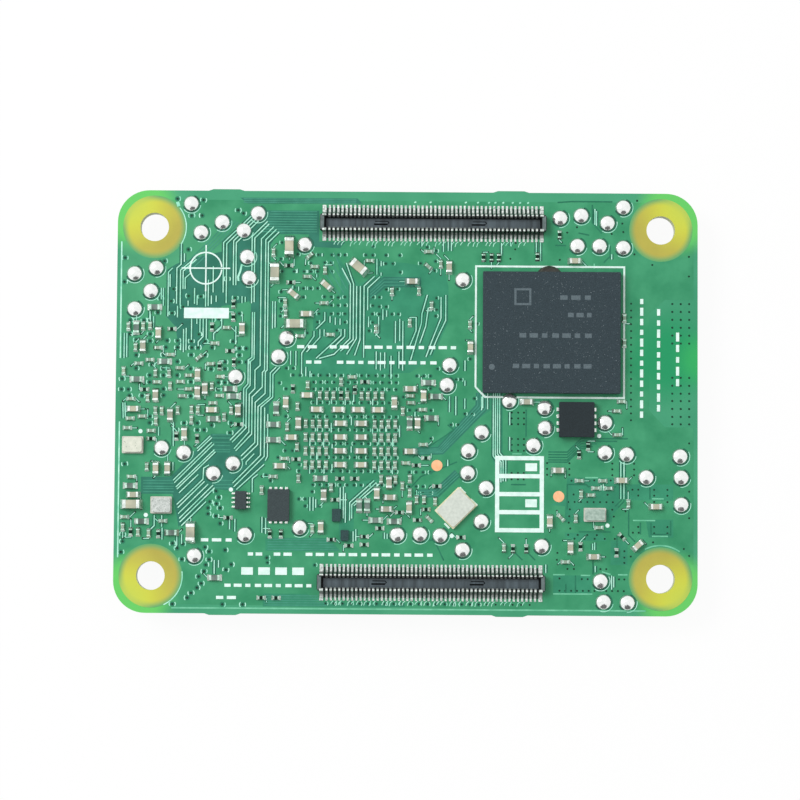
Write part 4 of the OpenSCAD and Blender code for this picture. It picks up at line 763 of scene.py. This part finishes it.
print_marks += [track(arc(-19.1, 12.6, 1.5, 5, 355, 40), 0.14), bar(-19.1, 12.6, 4.6, 0.13),
                bar(-19.1, 13.75, 0.13, 2.1), bar(-19.1, 11.45, 0.13, 2.1)]
print_marks += [bar(x, -16.0, 1.1, 0.7) for x in (-14.9, -13.3, -11.7, -10.1)]
on_mask("white_print", print_marks, print_white, foot=0.018)

# %% [markdown]
# Now the carried-over solids. Their meshes are loose triangles, so a Weld modifier joins
# them before a Bevel softens the edges. Each finish below belongs to one real material.
# A connector's contact gets painted shade: dark where it bends down and on its steep sides,
# bright on its crown and tail. That painted shade follows the distance from the connector's
# middle line, which both rows share.

# %% Painted shade along a row of contacts
row_y, row_reach = 17.0, 2.0
contact_shades = [
    (-1.75, 0.0), (-1.5, 0.1), (-1.35, 0.4), (-1.1, 0.7), (-0.95, 0.92), (-0.84, 0.95), (-0.78, 0.0),
    (-0.62, 0.0), (-0.56, 0.8), (0.56, 0.8), (0.62, 0.0), (0.78, 0.0), (0.84, 0.85), (0.95, 0.7),
    (1.02, 0.2), (1.2, 0.05), (1.3, 0.15), (1.4, 0.0),
]

print("stops along a contact:", len(contact_shades))

def contact_row_painted_shade(skin):
    make, join = skin.node_tree.nodes.new, skin.node_tree.links.new
    split, wrap, scale = make("ShaderNodeSeparateXYZ"), make("ShaderNodeMath"), make("ShaderNodeMapRange")
    join(make("ShaderNodeTexCoord").outputs["Object"], split.inputs["Vector"])
    wrap.operation = "FLOORED_MODULO"
    wrap.inputs[1].default_value = 2 * row_y * mm
    join(split.outputs["Y"], wrap.inputs[0])
    scale.inputs["From Min"].default_value = (row_y - row_reach) * mm
    scale.inputs["From Max"].default_value = (row_y + row_reach) * mm
    join(wrap.outputs["Value"], scale.inputs["Value"])
    ramp = make("ShaderNodeValToRGB")
    stops = ramp.color_ramp.elements
    for offset, dark in contact_shades:
        spot = stops.new((offset + row_reach) / (2 * row_reach))
        spot.color = (dark, dark, dark, 1)
    stops.remove(stops[-1])
    stops.remove(stops[0])
    join(scale.outputs["Result"], ramp.inputs["Fac"])
    upward, part = make("ShaderNodeSeparateXYZ"), make("ShaderNodeMath")
    join(make("ShaderNodeNewGeometry").outputs["Normal"], upward.inputs["Vector"])
    part.operation, part.use_clamp = "MULTIPLY", True
    join(upward.outputs["Z"], part.inputs[0])
    join(ramp.outputs["Color"], part.inputs[1])
    return part.outputs["Value"]

# %% Finishes of plastics, resin and solder
def moulding(name, dark, pale, shine=0.25):
    return mottled(name, dark, pale, 0.09, 0.58, bump=0.008, bump_grain=0.06, shine=shine)

connector_black = mottled("connector_plastic", "0D1214", "191F21", 0.6, 0.5, bump=0.006, bump_grain=0.08,
                          shine=0.15)
contact_metal = mottled("plated_contact", "95A89D", "FAFFFC", 0.16, 0.3, metal=1.0, bump=0.012,
                        bump_grain=0.09)
# painted shade: a contact's steep faces are darker, as if turned from the light
lay_over(contact_metal, by_slope(contact_metal, 0.3, 0.9), "8E9992")
# painted shade along each contact, by its distance from the connector's middle line
lay_over(contact_metal, contact_row_painted_shade(contact_metal), "1A211F")
package_slate = mottled("package_black", "1D2B31", "34444B", 0.08, 0.6, bump=0.008, bump_grain=0.06,
                        shine=0.3)
lay_over(package_slate, by_specks(package_slate, 0.10, 0.70), "8F9CA1")
chip_black = moulding("chip_moulding", "2B3739", "3B484A", 0.3)
logic_teal = moulding("logic_moulding", "223A3B", "335150")
switch_black = moulding("switch_moulding", "182226", "253135")
bond_resin = mottled("edge_bond_resin", "2B2A28", "45423D", 0.4, 0.35, bump=0.01, bump_grain=0.2, shine=0.3)
dome_solder = mottled("solder", "E9EEEB", "FAFBFA", 0.3, 0.13, metal=0.82, bump=0.03, bump_grain=0.24)
mark_copper = mottled("bare_copper", "F2B07C", "FAC596", 0.5, 0.5, metal=0.2, bump=0.004, bump_grain=0.1)
print("finishes so far:", len(bpy.data.materials))

# %% Finishes of the small parts
def tin(name, dark, pale, rough=0.3):
    return mottled(name, dark, pale, 0.3, rough, metal=1.0, bump=0.014, bump_grain=0.12)

def ceramic(name, dark, pale, grain, rough=0.5, metal=0.0, shine=0.5):
    return mottled(name, dark, pale, grain, rough, metal, bump=0.006, bump_grain=0.08, shine=shine)

def pressed_lid(name, dark, pale):
    return mottled(name, dark, pale, 0.3, 0.4, metal=0.4, bump=0.01, bump_grain=0.12)

cap_ceramic = ceramic("capacitor_ceramic", "959A8A", "C3C2A9", 1.7, shine=0.35)
small_ceramic = ceramic("small_capacitor_ceramic", "80978A", "A4B69F", 0.9, shine=0.3)
resistor_film = mottled("resistor_black", "031A12", "0A2E22", 0.8, 0.45, bump=0.004, bump_grain=0.08,
                        shine=0.12)
resistor_grey = mottled("resistor_glaze", "4C6057", "788C83", 0.9, 0.35, bump=0.004, bump_grain=0.08)
end_tin = tin("end_metal", "CCD8D0", "F7FBF8")
small_tin = tin("small_end_metal", "A0C6B2", "DAF2E6")
dull_tin = tin("dull_end_metal", "88AE9A", "C2DFCF", 0.34)
crystal_body = ceramic("crystal_ceramic", "B9BBB0", "D2D3C8", 0.5)
crystal_rim = ceramic("crystal_gold_rim", "D2CDA8", "EAE7CC", 0.4, rough=0.4, metal=0.2)
crystal_lid = mottled("crystal_lid_metal", "C6CEC4", "D6DDD3", 0.25, 0.42, metal=0.1, bump=0.006,
                      bump_grain=0.1)
grey_lid = pressed_lid("grey_lid_metal", "B0B7B2", "D0D5D1")
green_lid = pressed_lid("small_lid_metal", "8FA79A", "B4C8BC")
cream_lid = mottled("cream_lid", "CED3C2", "E1E3D3", 0.5, 0.5, bump=0.008, bump_grain=0.12)
lay_over(cream_lid, by_specks(cream_lid, 0.16, 0.64), "A3AB9D")
lay_over(grey_lid, by_specks(grey_lid, 0.14, 0.61), "7F8984")
print("finishes so far:", len(bpy.data.materials))

# %% Finishes of the underside
substrate = mottled("substrate_green", "1F5A41", "2A6B4E", 0.6, 0.45, bump=0.004, bump_grain=0.1, shine=0.3)
spreader = mottled("heat_spreader", "A9AEB0", "BABEBF", 0.3, 0.38, metal=1.0, bump=0.004, bump_grain=0.1)
shield = mottled("shield_metal", "B6BABA", "C8CCCC", 0.35, 0.32, metal=1.0, bump=0.005, bump_grain=0.2)
ferrite = mottled("inductor_grey", "3F4345", "555A5C", 0.4, 0.65, bump=0.01, bump_grain=0.08)
gold = mottled("gold_plate", "C99A3F", "E4BE63", 0.4, 0.28, metal=1.0, bump=0.003, bump_grain=0.1)
socket_white = mottled("white_plastic", "DADDD6", "ECEDE8", 0.6, 0.5, bump=0.004, bump_grain=0.1)
print("finishes so far, underside too:", len(bpy.data.materials))

# %% Dress the solids
weld_reach = 0.0005 * mm

def dress(names, skin, soften=0.0, smooth=False):
    for name in names.split():
        node = nodes[name]
        node.data.materials.clear()
        node.data.materials.append(skin)
        if soften or smooth:
            weld = node.modifiers.new("join_triangles", "WELD")
            weld.merge_threshold = weld_reach
        if smooth:
            node.data.shade_smooth()
        if soften:
            ease = node.modifiers.new("soft_edges", "BEVEL")
            ease.width, ease.segments, ease.limit_method = soften * mm, 2, "ANGLE"
            ease.angle_limit = math.radians(40)
    print("dressed", names)

dress("carrier_connector_1_housing carrier_connector_2_housing", connector_black, 0.03)
dress("carrier_connector_1_contacts carrier_connector_2_contacts", contact_metal)
dress("carrier_connector_1_hold_downs carrier_connector_2_hold_downs", contact_metal)
dress("flash_memory", package_slate, 0.06)
dress("flash_memory_balls processor_balls memory_balls io_controller_balls test_pad_domes", dome_solder,
      smooth=True)
dress("flash_memory_edge_bond", bond_resin)
dress("power_switch_chip", switch_black, 0.04)
dress("small_logic_chips", logic_teal, 0.04)
dress("boot_memory_chip interface_chip", chip_black, 0.04)
dress("power_switch_leads boot_memory_leads interface_chip_leads power_manager_pads network_chip_pads",
      end_tin, 0.02)
dress("side_crystal_base small_crystal_base clock_oscillator_base", crystal_body, 0.03)
dress("main_crystal_base", crystal_rim, 0.03)
dress("main_crystal_lid", crystal_lid, 0.04)
dress("side_crystal_lid", grey_lid, 0.06)
dress("small_crystal_lid", green_lid, 0.06)
dress("clock_oscillator_lid", cream_lid, 0.08)
dress("alignment_marks", mark_copper)
dress("large_capacitors medium_capacitors hidden_capacitors", cap_ceramic, 0.03)
dress("small_capacitors", small_ceramic, 0.03)
dress("large_capacitor_ends medium_capacitor_ends hidden_capacitor_ends", end_tin, 0.04)
dress("small_capacitor_ends", small_tin, 0.04)
dress("small_resistors", resistor_film, 0.02)
dress("medium_resistors", resistor_grey, 0.02)
dress("power_inductor_ends", end_tin, 0.03)
dress("medium_resistor_ends", small_tin, 0.03)
dress("small_resistor_ends", dull_tin, 0.03)
dress("processor_substrate", substrate, 0.03)
dress("processor_lid", spreader, 0.06)
dress("memory_package io_controller power_manager network_chip radio_chip", package_slate, 0.05)
dress("shield_can", shield, 0.08)
dress("power_inductors", ferrite, 0.08)
dress("antenna_connector_base", socket_white, 0.04)
dress("antenna_connector_shell antenna_connector_pin", gold)

# %% [markdown]
# Under each end of a chip part, solder runs up from its pad in a small slope. The place
# and direction come from the solids: a body's two nearest ends tell which way is out.
# Each slope is a cube whose outer top edge is pushed down, so it has six faces. It climbs
# a share of the end's height, and is thin at its toe and a little wider than the end.

# %% The loose blocks of a node
def loose_blocks(name):
    bm = bmesh.new()
    bm.from_mesh(nodes[name].data)
    bmesh.ops.remove_doubles(bm, verts=bm.verts, dist=weld_reach)
    seen, blocks = set(), []
    for start in bm.verts:
        if start in seen:
            continue
        pile, block = [start], []
        seen.add(start)
        while pile:
            v = pile.pop()
            block.append(v.co / mm)
            for e in v.link_edges:
                other = e.other_vert(v)
                if other not in seen:
                    seen.add(other)
                    pile.append(other)
        blocks.append(block)
    bm.free()
    return blocks

def middle(block):
    return sum(block, Vector()) / len(block)

print("large capacitors:", len(loose_blocks("large_capacitors")))

# %% Solder at the chip ends
pad_solder = mottled("pad_solder", "A9BAB0", "E6EEE9", 0.25, 0.3, metal=1.0, bump=0.01, bump_grain=0.1)
climb, thinned, margin, sunk = 0.62, 0.85, 0.06, 0.02

def end_slopes(bm, bodies, ends, run):
    end_blocks = loose_blocks(ends)
    finder = kdtree.KDTree(len(end_blocks))
    for i, block in enumerate(end_blocks):
        finder.insert(middle(block), i)
    finder.balance()
    for body in loose_blocks(bodies):
        spot = middle(body)
        for _, i, _ in finder.find_n(spot, 2):
            block = end_blocks[i]
            out = (middle(block) - spot) * Vector((1, 1, 0))
            out.normalize()
            side = Vector((-out.y, out.x, 0))
            face = max((v - spot).dot(out) for v in block)
            wide = max(abs((v - spot).dot(side)) for v in block)
            low, high = min(v.z for v in block), max(v.z for v in block)
            foot = top if abs(low - top) < abs(high - under) else under
            tall = (high - low) * (climb if foot == top else -climb)
            origin = spot + out * face
            for v in bmesh.ops.create_cube(bm, size=1.0)["verts"]:
                along, span, rise = v.co.x + 0.5, v.co.y * (2 * wide + margin), v.co.z + 0.5
                lift = tall * rise * (1 - thinned * along)
                spread = along * run - sunk
                place = origin + out * spread + side * span
                v.co = Vector((place.x, place.y, foot + lift))

slope_runs = {"large_capacitor": 0.28, "medium_capacitor": 0.22, "small_capacitor": 0.17,
              "medium_resistor": 0.22, "small_resistor": 0.16, "hidden_capacitor": 0.2}
solder_slopes = bmesh.new()
for kind, run in slope_runs.items():
    end_slopes(solder_slopes, kind + "s", kind + "_ends", run)
keep_piece("chip_end_solder", solder_slopes, pad_solder)

# %% [markdown]
# Each solder dome sits in a round opening of the mask. At its foot, on the side away
# from the light, a dark arc is painted shadow, and outside it a pale arc on part of the pad's
# rim is painted highlight. Both are arcs drawn as tracks, and the domes' own blocks say where they are.

# %% Painted shadows and highlights round the domes
dome_spots = [middle(block) for block in loose_blocks("test_pad_domes")]
dome_shadow_r, pad_r, thin_wide = 0.81, 0.90, 0.07
dome_shadows = [track(arc(d.x, d.y, dome_shadow_r, -160, 70), 0.10) for d in dome_spots]
pad_rim_highlights = []
for i, d in enumerate(dome_spots):
    start, end = -140 + 15 * (i % 4), -10 + 20 * (i % 3)
    pad_rim_highlights.append(track(arc(d.x, d.y, pad_r, start, end, 18), thin_wide))
# painted shadow on the far side of each dome, painted highlight on part of its pad's rim
on_mask("dome_painted_shadows", dome_shadows, gap_and_shadow_mask)
on_mask("dome_rim_highlights", pad_rim_highlights, pale_track_and_highlight)
print("domes:", len(dome_spots))

# %% [markdown]
# Every pad of a chip part is tied to the board by a short track that ends in a via. The
# stubs are worked out from the ends themselves: each leaves its end outward or slantwise,
# and is kept only where its far end is clear of other parts and of the connectors. The
# block of capacitors in the middle has its own tracks already, so stubs stay out of it.

# %% Short tracks from the chip ends
leave_by, clear_by, box_margin, stub_gap_wide = 0.28, 0.42, 0.3, 0.22
most_x, most_y = 26.8, 19.2
block_x, block_y = (-10.6, 0.6), (-8.6, 3.0)
keep_clear = ("flash_memory", "power_switch_chip", "boot_memory_chip", "interface_chip", "main_crystal_base",
              "side_crystal_base", "clock_oscillator_base", "carrier_connector_1_contacts",
              "carrier_connector_2_contacts")

def stub_paths():
    kinds = [kind for kind in slope_runs if kind != "hidden_capacitor"]
    bodies = [middle(b) for kind in kinds for b in loose_blocks(kind + "s")]
    ends = [middle(b) for kind in kinds for b in loose_blocks(kind + "_ends")]
    taken = kdtree.KDTree(len(bodies) + len(ends) + len(dome_spots))
    for i, spot in enumerate(bodies + ends + dome_spots):
        taken.insert(spot * Vector((1, 1, 0)), i)
    taken.balance()
    homes = kdtree.KDTree(len(bodies))
    for i, spot in enumerate(bodies):
        homes.insert(spot, i)
    homes.balance()
    boxes = [plan(name) for name in keep_clear]
    paths = []
    for i, end in enumerate(ends):
        home = homes.find(end)[0]
        out = ((end - home) * Vector((1, 1, 0))).normalized()
        turn = Matrix.Rotation(math.radians((0, 45, -45, 90, -90)[i % 5]), 3, "Z")
        leave, reach = end + out * leave_by, 0.30 + 0.12 * (i % 4)
        far = leave + (turn @ out) * reach
        in_block = block_x[0] < far.x < block_x[1] and block_y[0] < far.y < block_y[1]
        if i % 3 == 1 or in_block:
            continue
        crowded = taken.find(far * Vector((1, 1, 0)))[2] < clear_by
        if crowded or abs(far.x) > most_x or abs(far.y) > most_y:
            continue
        if any(x0 - box_margin < far.x < x1 + box_margin and y0 - box_margin < far.y < y1 + box_margin
               for x0, y0, x1, y1 in boxes):
            continue
        paths.append([(end.x, end.y), (leave.x, leave.y), (far.x, far.y)])
    return paths

stubs = stub_paths()
on_mask("stub_gaps", [track(p, stub_gap_wide) for p in stubs], gap_and_shadow_mask)
on_mask("stub_tracks", [track(p, thin_wide) for p in stubs], pale_track_and_highlight, foot=track_foot)
via_caps("stub_vias", [p[-1] for p in stubs], top + via_lift)

# %% [markdown]
# The connectors need a few things that their solids leave out: a dark sheet of painted
# shade on the mask between the soldered tails, the greyer floor of the tub with the faint cross
# streaks and the two ejector marks that a mould leaves, the paler end walls, and the short
# tracks that leave the tails on the near side. All are thin sheets that lie on the solids.

# %% Finishes inside the connectors
tub_grey = mottled("tub_floor_plastic", "2F3A3F", "56646B", 0.5, 0.4, bump=0.004, bump_grain=0.06, shine=0.4)
tub_end_grey = mottled("tub_end_plastic", "52605F", "6B7B7A", 0.4, 0.45, bump=0.004, bump_grain=0.06,
                       shine=0.4)
mould_dark = mottled("mould_mark", "050708", "0B0F10", 0.3, 0.6, shine=0.05)
# the mask between the tails is darkened as painted shade
tail_shade = mask("painted_shade_between_tails", "0C2B20", "184534", 0.4, rough=0.4, bump=0.003, bump_grain=0.1)

def stretch_grain(skin, along):
    grain = [n for n in skin.node_tree.nodes if n.type == "TEX_NOISE"][0]
    turn = skin.node_tree.nodes.new("ShaderNodeMapping")
    turn.inputs["Scale"].default_value = along
    skin.node_tree.links.new(grain.inputs["Vector"].links[0].from_socket, turn.inputs["Vector"])
    skin.node_tree.links.new(turn.outputs["Vector"], grain.inputs["Vector"])

stretch_grain(tub_grey, (1.0, 0.05, 1.0))
print("finishes so far, connectors too:", len(bpy.data.materials))

# %% Connector floors, ends and tails
tails, first_tail, tail_pitch = 46, -9.2, 0.4
mould_spots = (-4.9, 4.35)
tub_floor, tub_rim, tub_end, tub_wall = top + 0.3, top + 0.88, 0.6, 0.33
floors, end_walls, shades, mould_lines, fan_out = [], [], [], [], []
for side in (1, 2):
    x0, y0, x1, y1 = plan("carrier_connector_%d_housing" % side)
    x, y, long, wide = (x0 + x1) / 2, (y0 + y1) / 2, x1 - x0, y1 - y0
    # the floor sheet sits a little towards the near wall, so black plastic along the far wall stands for
    # painted shade
    floors.append(bar(x, y - 0.06, long - 2 * tub_end, wide - 2 * tub_wall))
    end_walls += [bar(x + s * (long / 2 - 0.22), y, 0.34, wide - 0.2) for s in (-1, 1)]
    shades += [bar(x, y + s * (wide / 2 + 0.34), long - 1.0, 0.66) for s in (-1, 1)]
    for spot in (x + away for away in mould_spots):
        mould_lines.append(track([(spot - 0.6, y + 0.15), (spot + 0.6, y + 0.15), (spot + 0.72, y + 0.02),
                                  (spot + 0.62, y - 0.08)], 0.08))
        mould_lines.append(bar(spot - 0.05, y - 0.14, 1.3, 0.15))
    for k in range(tails):
        start, lean = x + first_tail + tail_pitch * k, 0.12 + 0.05 * (k % 3)
        if k % 4 != 3:
            fan_out.append([(start, y - 1.72), (start - lean, y - 1.9),
                            (start - lean - 0.08, y - 2.05 - 0.04 * (k % 5))])
raised_sheets("connector_floors", floors, tub_floor - 0.004, tub_floor + 0.010, tub_grey)
raised_sheets("connector_mould_marks", mould_lines, tub_floor + 0.008, tub_floor + 0.014, mould_dark)
raised_sheets("connector_end_walls", end_walls, tub_rim - 0.01, tub_rim + 0.01, tub_end_grey)
on_mask("tail_shades", shades, tail_shade, foot=0.006)
on_mask("tail_tracks", [track(p, thin_wide) for p in fan_out], pale_track_and_highlight)

# %% [markdown]
# The processor side lies underneath here, and in use it faces a heat sink. It has its own
# tracks: short ones from the processor past its capacitors, a bundle from the controller,
# and the wide feed line from the radio's can to the aerial socket. White corner marks
# frame the packages.

# %% Tracks on the underside
under_paths = []
for y in (-9.7, -8.5, -7.3, -6.1, -3.7, -2.5, -1.3, -0.1, 1.1, 2.3):
    under_paths.append([(-14.6, y), (-17.0, y), (-17.6, y + 0.6)])
for k in range(12):
    x = -12.5 + 1.2 * k
    under_paths.append([(x, -11.8), (x, -14.2), (x + 0.5, -14.8), (x + 0.5, -16.0 + 0.3 * (k % 3))])
for k in range(5):
    x = 7.1 + 1.2 * k
    under_paths.append([(x, 6.4), (x, 9.4), (x + 0.6, 10.0), (x + 0.6, 13.5 - 0.4 * (k % 2))])
for k, y in enumerate((4.2, 3.0, 1.8, 0.6)):
    under_paths.append([(15.1, y), (17.6, y), (18.4, y + 0.8), (18.4, 7.4 + 0.3 * k)])
feed_line = [[(20.4, -5.0), (20.4, -3.6), (21.7, -2.3), (22.3, -1.2)],
             [(23.6, 0.1), (23.6, 1.0), (24.4, 1.8), (24.4, 3.4)]]
under_gaps = [track(p, 0.30) for p in under_paths] + [track(p, 0.6) for p in feed_line]
under_tracks = [track(p, 0.11) for p in under_paths] + [track(p, 0.26) for p in feed_line]
below_mask("under_track_gaps", under_gaps, gap_and_shadow_mask)
below_mask("under_tracks", under_tracks, soft_rim)
via_caps("under_track_vias", [p[-1] for p in under_paths], under - via_lift)

# %% Print on the underside
def corner_marks(name, clear, size=1.1):
    x0, y0, x1, y1 = plan(name)
    x0, y0, x1, y1 = x0 - clear, y0 - clear, x1 + clear, y1 + clear
    turns = ((x0, y0, 1, 1), (x1, y0, -1, 1), (x1, y1, -1, -1), (x0, y1, 1, -1))
    return [track([(x + a * size, y), (x, y), (x, y + b * size)], 0.16) for x, y, a, b in turns]

under_print = corner_marks("io_controller", 0.45) + corner_marks("power_manager_pads", 0.3, 0.7)
under_print += corner_marks("network_chip_pads", 0.3, 0.7) + corner_marks("shield_can", 0.4)
under_print += corner_marks("memory_package", 0.35)[2:] + corner_marks("processor_substrate", 0.45)[:2]
under_dots = ((15.6, 6.75), (-17.2, 5.1), (3.4, -6.6), (-12.9, 16.9), (3.3, -12.6))
under_print += [round_spot(x, y, 0.22) for x, y in under_dots]
below_mask("under_print", under_print, print_white)

# %% [markdown]
# A laser burns pale marks into the black of a moulded package: rows of plain bars, and the
# round pin-one dot at the corner. They are sheets that stand a hair proud of the package.

# %% Laser marks on the flash memory
laser_grey = mottled("laser_mark", "4E5C62", "66747A", 0.12, 0.7, bump=0.004, bump_grain=0.06, shine=0.3)
flash_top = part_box("flash_memory")[1].z / mm
flash_marks = []
for start, end, across in ((14.2, 17.6, 9.95), (15.0, 17.6, 8.3), (10.4, 17.6, 6.35), (9.8, 17.5, 3.45)):
    flash_marks += dashes(start, end, across, size=0.42)
flash_marks += open_frame(10.2, 9.3, 11.6, 10.7, 0.2) + [round_spot(8.0, 3.35, 0.28)]
raised_sheets("flash_laser_marks", flash_marks, flash_top - 0.004, flash_top + 0.006, laser_grey)

# %% Laser marks underneath
def under_laser_marks(name, rows, size):
    x0, y0, x1, y1 = plan(name)
    face, x, y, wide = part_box(name)[0].z / mm, (x0 + x1) / 2, (y0 + y1) / 2, x1 - x0
    marks = [round_spot(x1 - 0.1 * wide, y1 - 0.1 * wide, 0.04 * wide)]
    for k in range(rows):
        half = wide * (0.32, 0.22, 0.28)[k % 3]
        marks += dashes(x - half, x + half, y + (rows / 2 - k - 0.5) * 2.4 * size, size=size,
                        pitch=2.6 * size)
    raised_sheets(name + "_laser_marks", marks, face - 0.006, face + 0.004, laser_grey)

for name, rows, size in (("memory_package", 3, 0.55), ("io_controller", 3, 0.45),
                         ("power_manager", 2, 0.32), ("network_chip", 2, 0.32)):
    under_laser_marks(name, rows, size)

# %% [markdown]
# The studio: a plain white floor under the part, a soft sky that gives less light low on
# the near side, and one soft lamp from the upper left, which throws the short shadows to
# the right and down. The lens, metal and glass all see the same plain white behind the
# part. A dark card stands on the near side, as a photographer sets one up: only shiny
# things see it, and it puts the dark foot on each solder dome that makes it read as round.

# %% The same white for the lens, metal and glass
def white_to_lenses(tree):
    seen = tree.nodes.new("ShaderNodeLightPath")
    share = seen.outputs["Is Camera Ray"]
    for kind in ("Is Glossy Ray", "Is Transmission Ray"):
        either = tree.nodes.new("ShaderNodeMath")
        either.operation = "MAXIMUM"
        tree.links.new(share, either.inputs[0])
        tree.links.new(seen.outputs[kind], either.inputs[1])
        share = either.outputs["Value"]
    return share

# %% White floor
floor_half, floor_tone, floor_glow = 1.5, 0.92, 0.94

def white_floor():
    bm = bmesh.new()
    bmesh.ops.create_grid(bm, x_segments=1, y_segments=1, size=floor_half)
    mesh = bpy.data.meshes.new("studio_floor")
    bm.to_mesh(mesh)
    bm.free()
    skin = bpy.data.materials.new("studio_floor")
    skin.use_nodes = True
    make, join = skin.node_tree.nodes.new, skin.node_tree.links.new
    shader = skin.node_tree.nodes["Principled BSDF"]
    shader.inputs["Base Color"].default_value = (floor_tone, floor_tone, floor_tone, 1.0)
    shader.inputs["Roughness"].default_value = 0.9
    shader.inputs["Specular IOR Level"].default_value = 0.0
    glow = make("ShaderNodeEmission")
    share = make("ShaderNodeMath")
    share.operation = "MULTIPLY"
    share.inputs[1].default_value = floor_glow
    join(white_to_lenses(skin.node_tree), share.inputs[0])
    blend = make("ShaderNodeMixShader")
    join(share.outputs["Value"], blend.inputs["Fac"])
    join(shader.outputs["BSDF"], blend.inputs[1])
    join(glow.outputs["Emission"], blend.inputs[2])
    join(blend.outputs["Shader"], skin.node_tree.nodes["Material Output"].inputs["Surface"])
    mesh.materials.append(skin)
    floor = bpy.data.objects.new("studio_floor", mesh)
    bpy.context.scene.collection.objects.link(floor)

white_floor()
print("floor of", 2 * floor_half, "m")

# %% Sky
sky_lean, sky_fade, sky_dim = (-0.16, 0.58, 0.80), 0.14, (0.035, 0.035, 0.03, 1)

def studio_sky(level):
    sky = bpy.data.worlds.new("studio_sky")
    bpy.context.scene.world = sky
    sky.use_nodes = True
    make, join = sky.node_tree.nodes.new, sky.node_tree.links.new
    lit = sky.node_tree.nodes["Background"]
    lean, ramp = make("ShaderNodeVectorMath"), make("ShaderNodeValToRGB")
    lean.operation = "DOT_PRODUCT"
    lean.inputs[1].default_value = sky_lean
    join(make("ShaderNodeTexCoord").outputs["Generated"], lean.inputs[0])
    low, high = ramp.color_ramp.elements
    low.position, high.position = 0.0, sky_fade
    low.color, high.color = sky_dim, (1.0, 1.0, 1.0, 1)
    join(lean.outputs["Value"], ramp.inputs["Fac"])
    join(ramp.outputs["Color"], lit.inputs["Color"])
    lit.inputs["Strength"].default_value = level
    white, blend = make("ShaderNodeBackground"), make("ShaderNodeMixShader")
    white.inputs["Color"].default_value = (1, 1, 1, 1)
    join(white_to_lenses(sky.node_tree), blend.inputs["Fac"])
    join(lit.outputs["Background"], blend.inputs[1])
    join(white.outputs["Background"], blend.inputs[2])
    join(blend.outputs["Shader"], sky.node_tree.nodes["World Output"].inputs["Surface"])

studio_sky(level=0.79)
print("sky:", bpy.context.scene.world.name)

# %% Dark card and lamp
def dark_card(name, spot, radius):
    facing = Vector(spot).to_track_quat("Z", "Y").to_matrix().to_4x4()
    bm = bmesh.new()
    bmesh.ops.create_circle(bm, cap_ends=True, segments=48, radius=radius,
                            matrix=Matrix.Translation(spot) @ facing)
    mesh = bpy.data.meshes.new(name)
    bm.to_mesh(mesh)
    bm.free()
    mesh.materials.append(mottled("card_felt", "141413", "232322", 20.0, 0.9, shine=0.1))
    card = bpy.data.objects.new(name, mesh)
    card.visible_camera = card.visible_diffuse = card.visible_shadow = False
    bpy.context.scene.collection.objects.link(card)

def soft_lamp(name, spot, size, watts):
    light = bpy.data.lights.new(name, "AREA")
    light.shape, light.size, light.energy = "DISK", size, watts
    lamp = bpy.data.objects.new(name, light)
    lamp.location = spot
    lamp.rotation_euler = Vector(spot).to_track_quat("Z", "Y").to_euler()
    lamp.visible_camera = False
    bpy.context.scene.collection.objects.link(lamp)

dark_card("studio_card", spot=(0.05, -0.37, 0.335), radius=0.25)
soft_lamp("key_lamp", spot=(-0.31, 0.18, 0.42), size=0.26, watts=1.6)
bpy.context.scene.view_settings.view_transform = "Standard"
print("one dark card and one lamp")
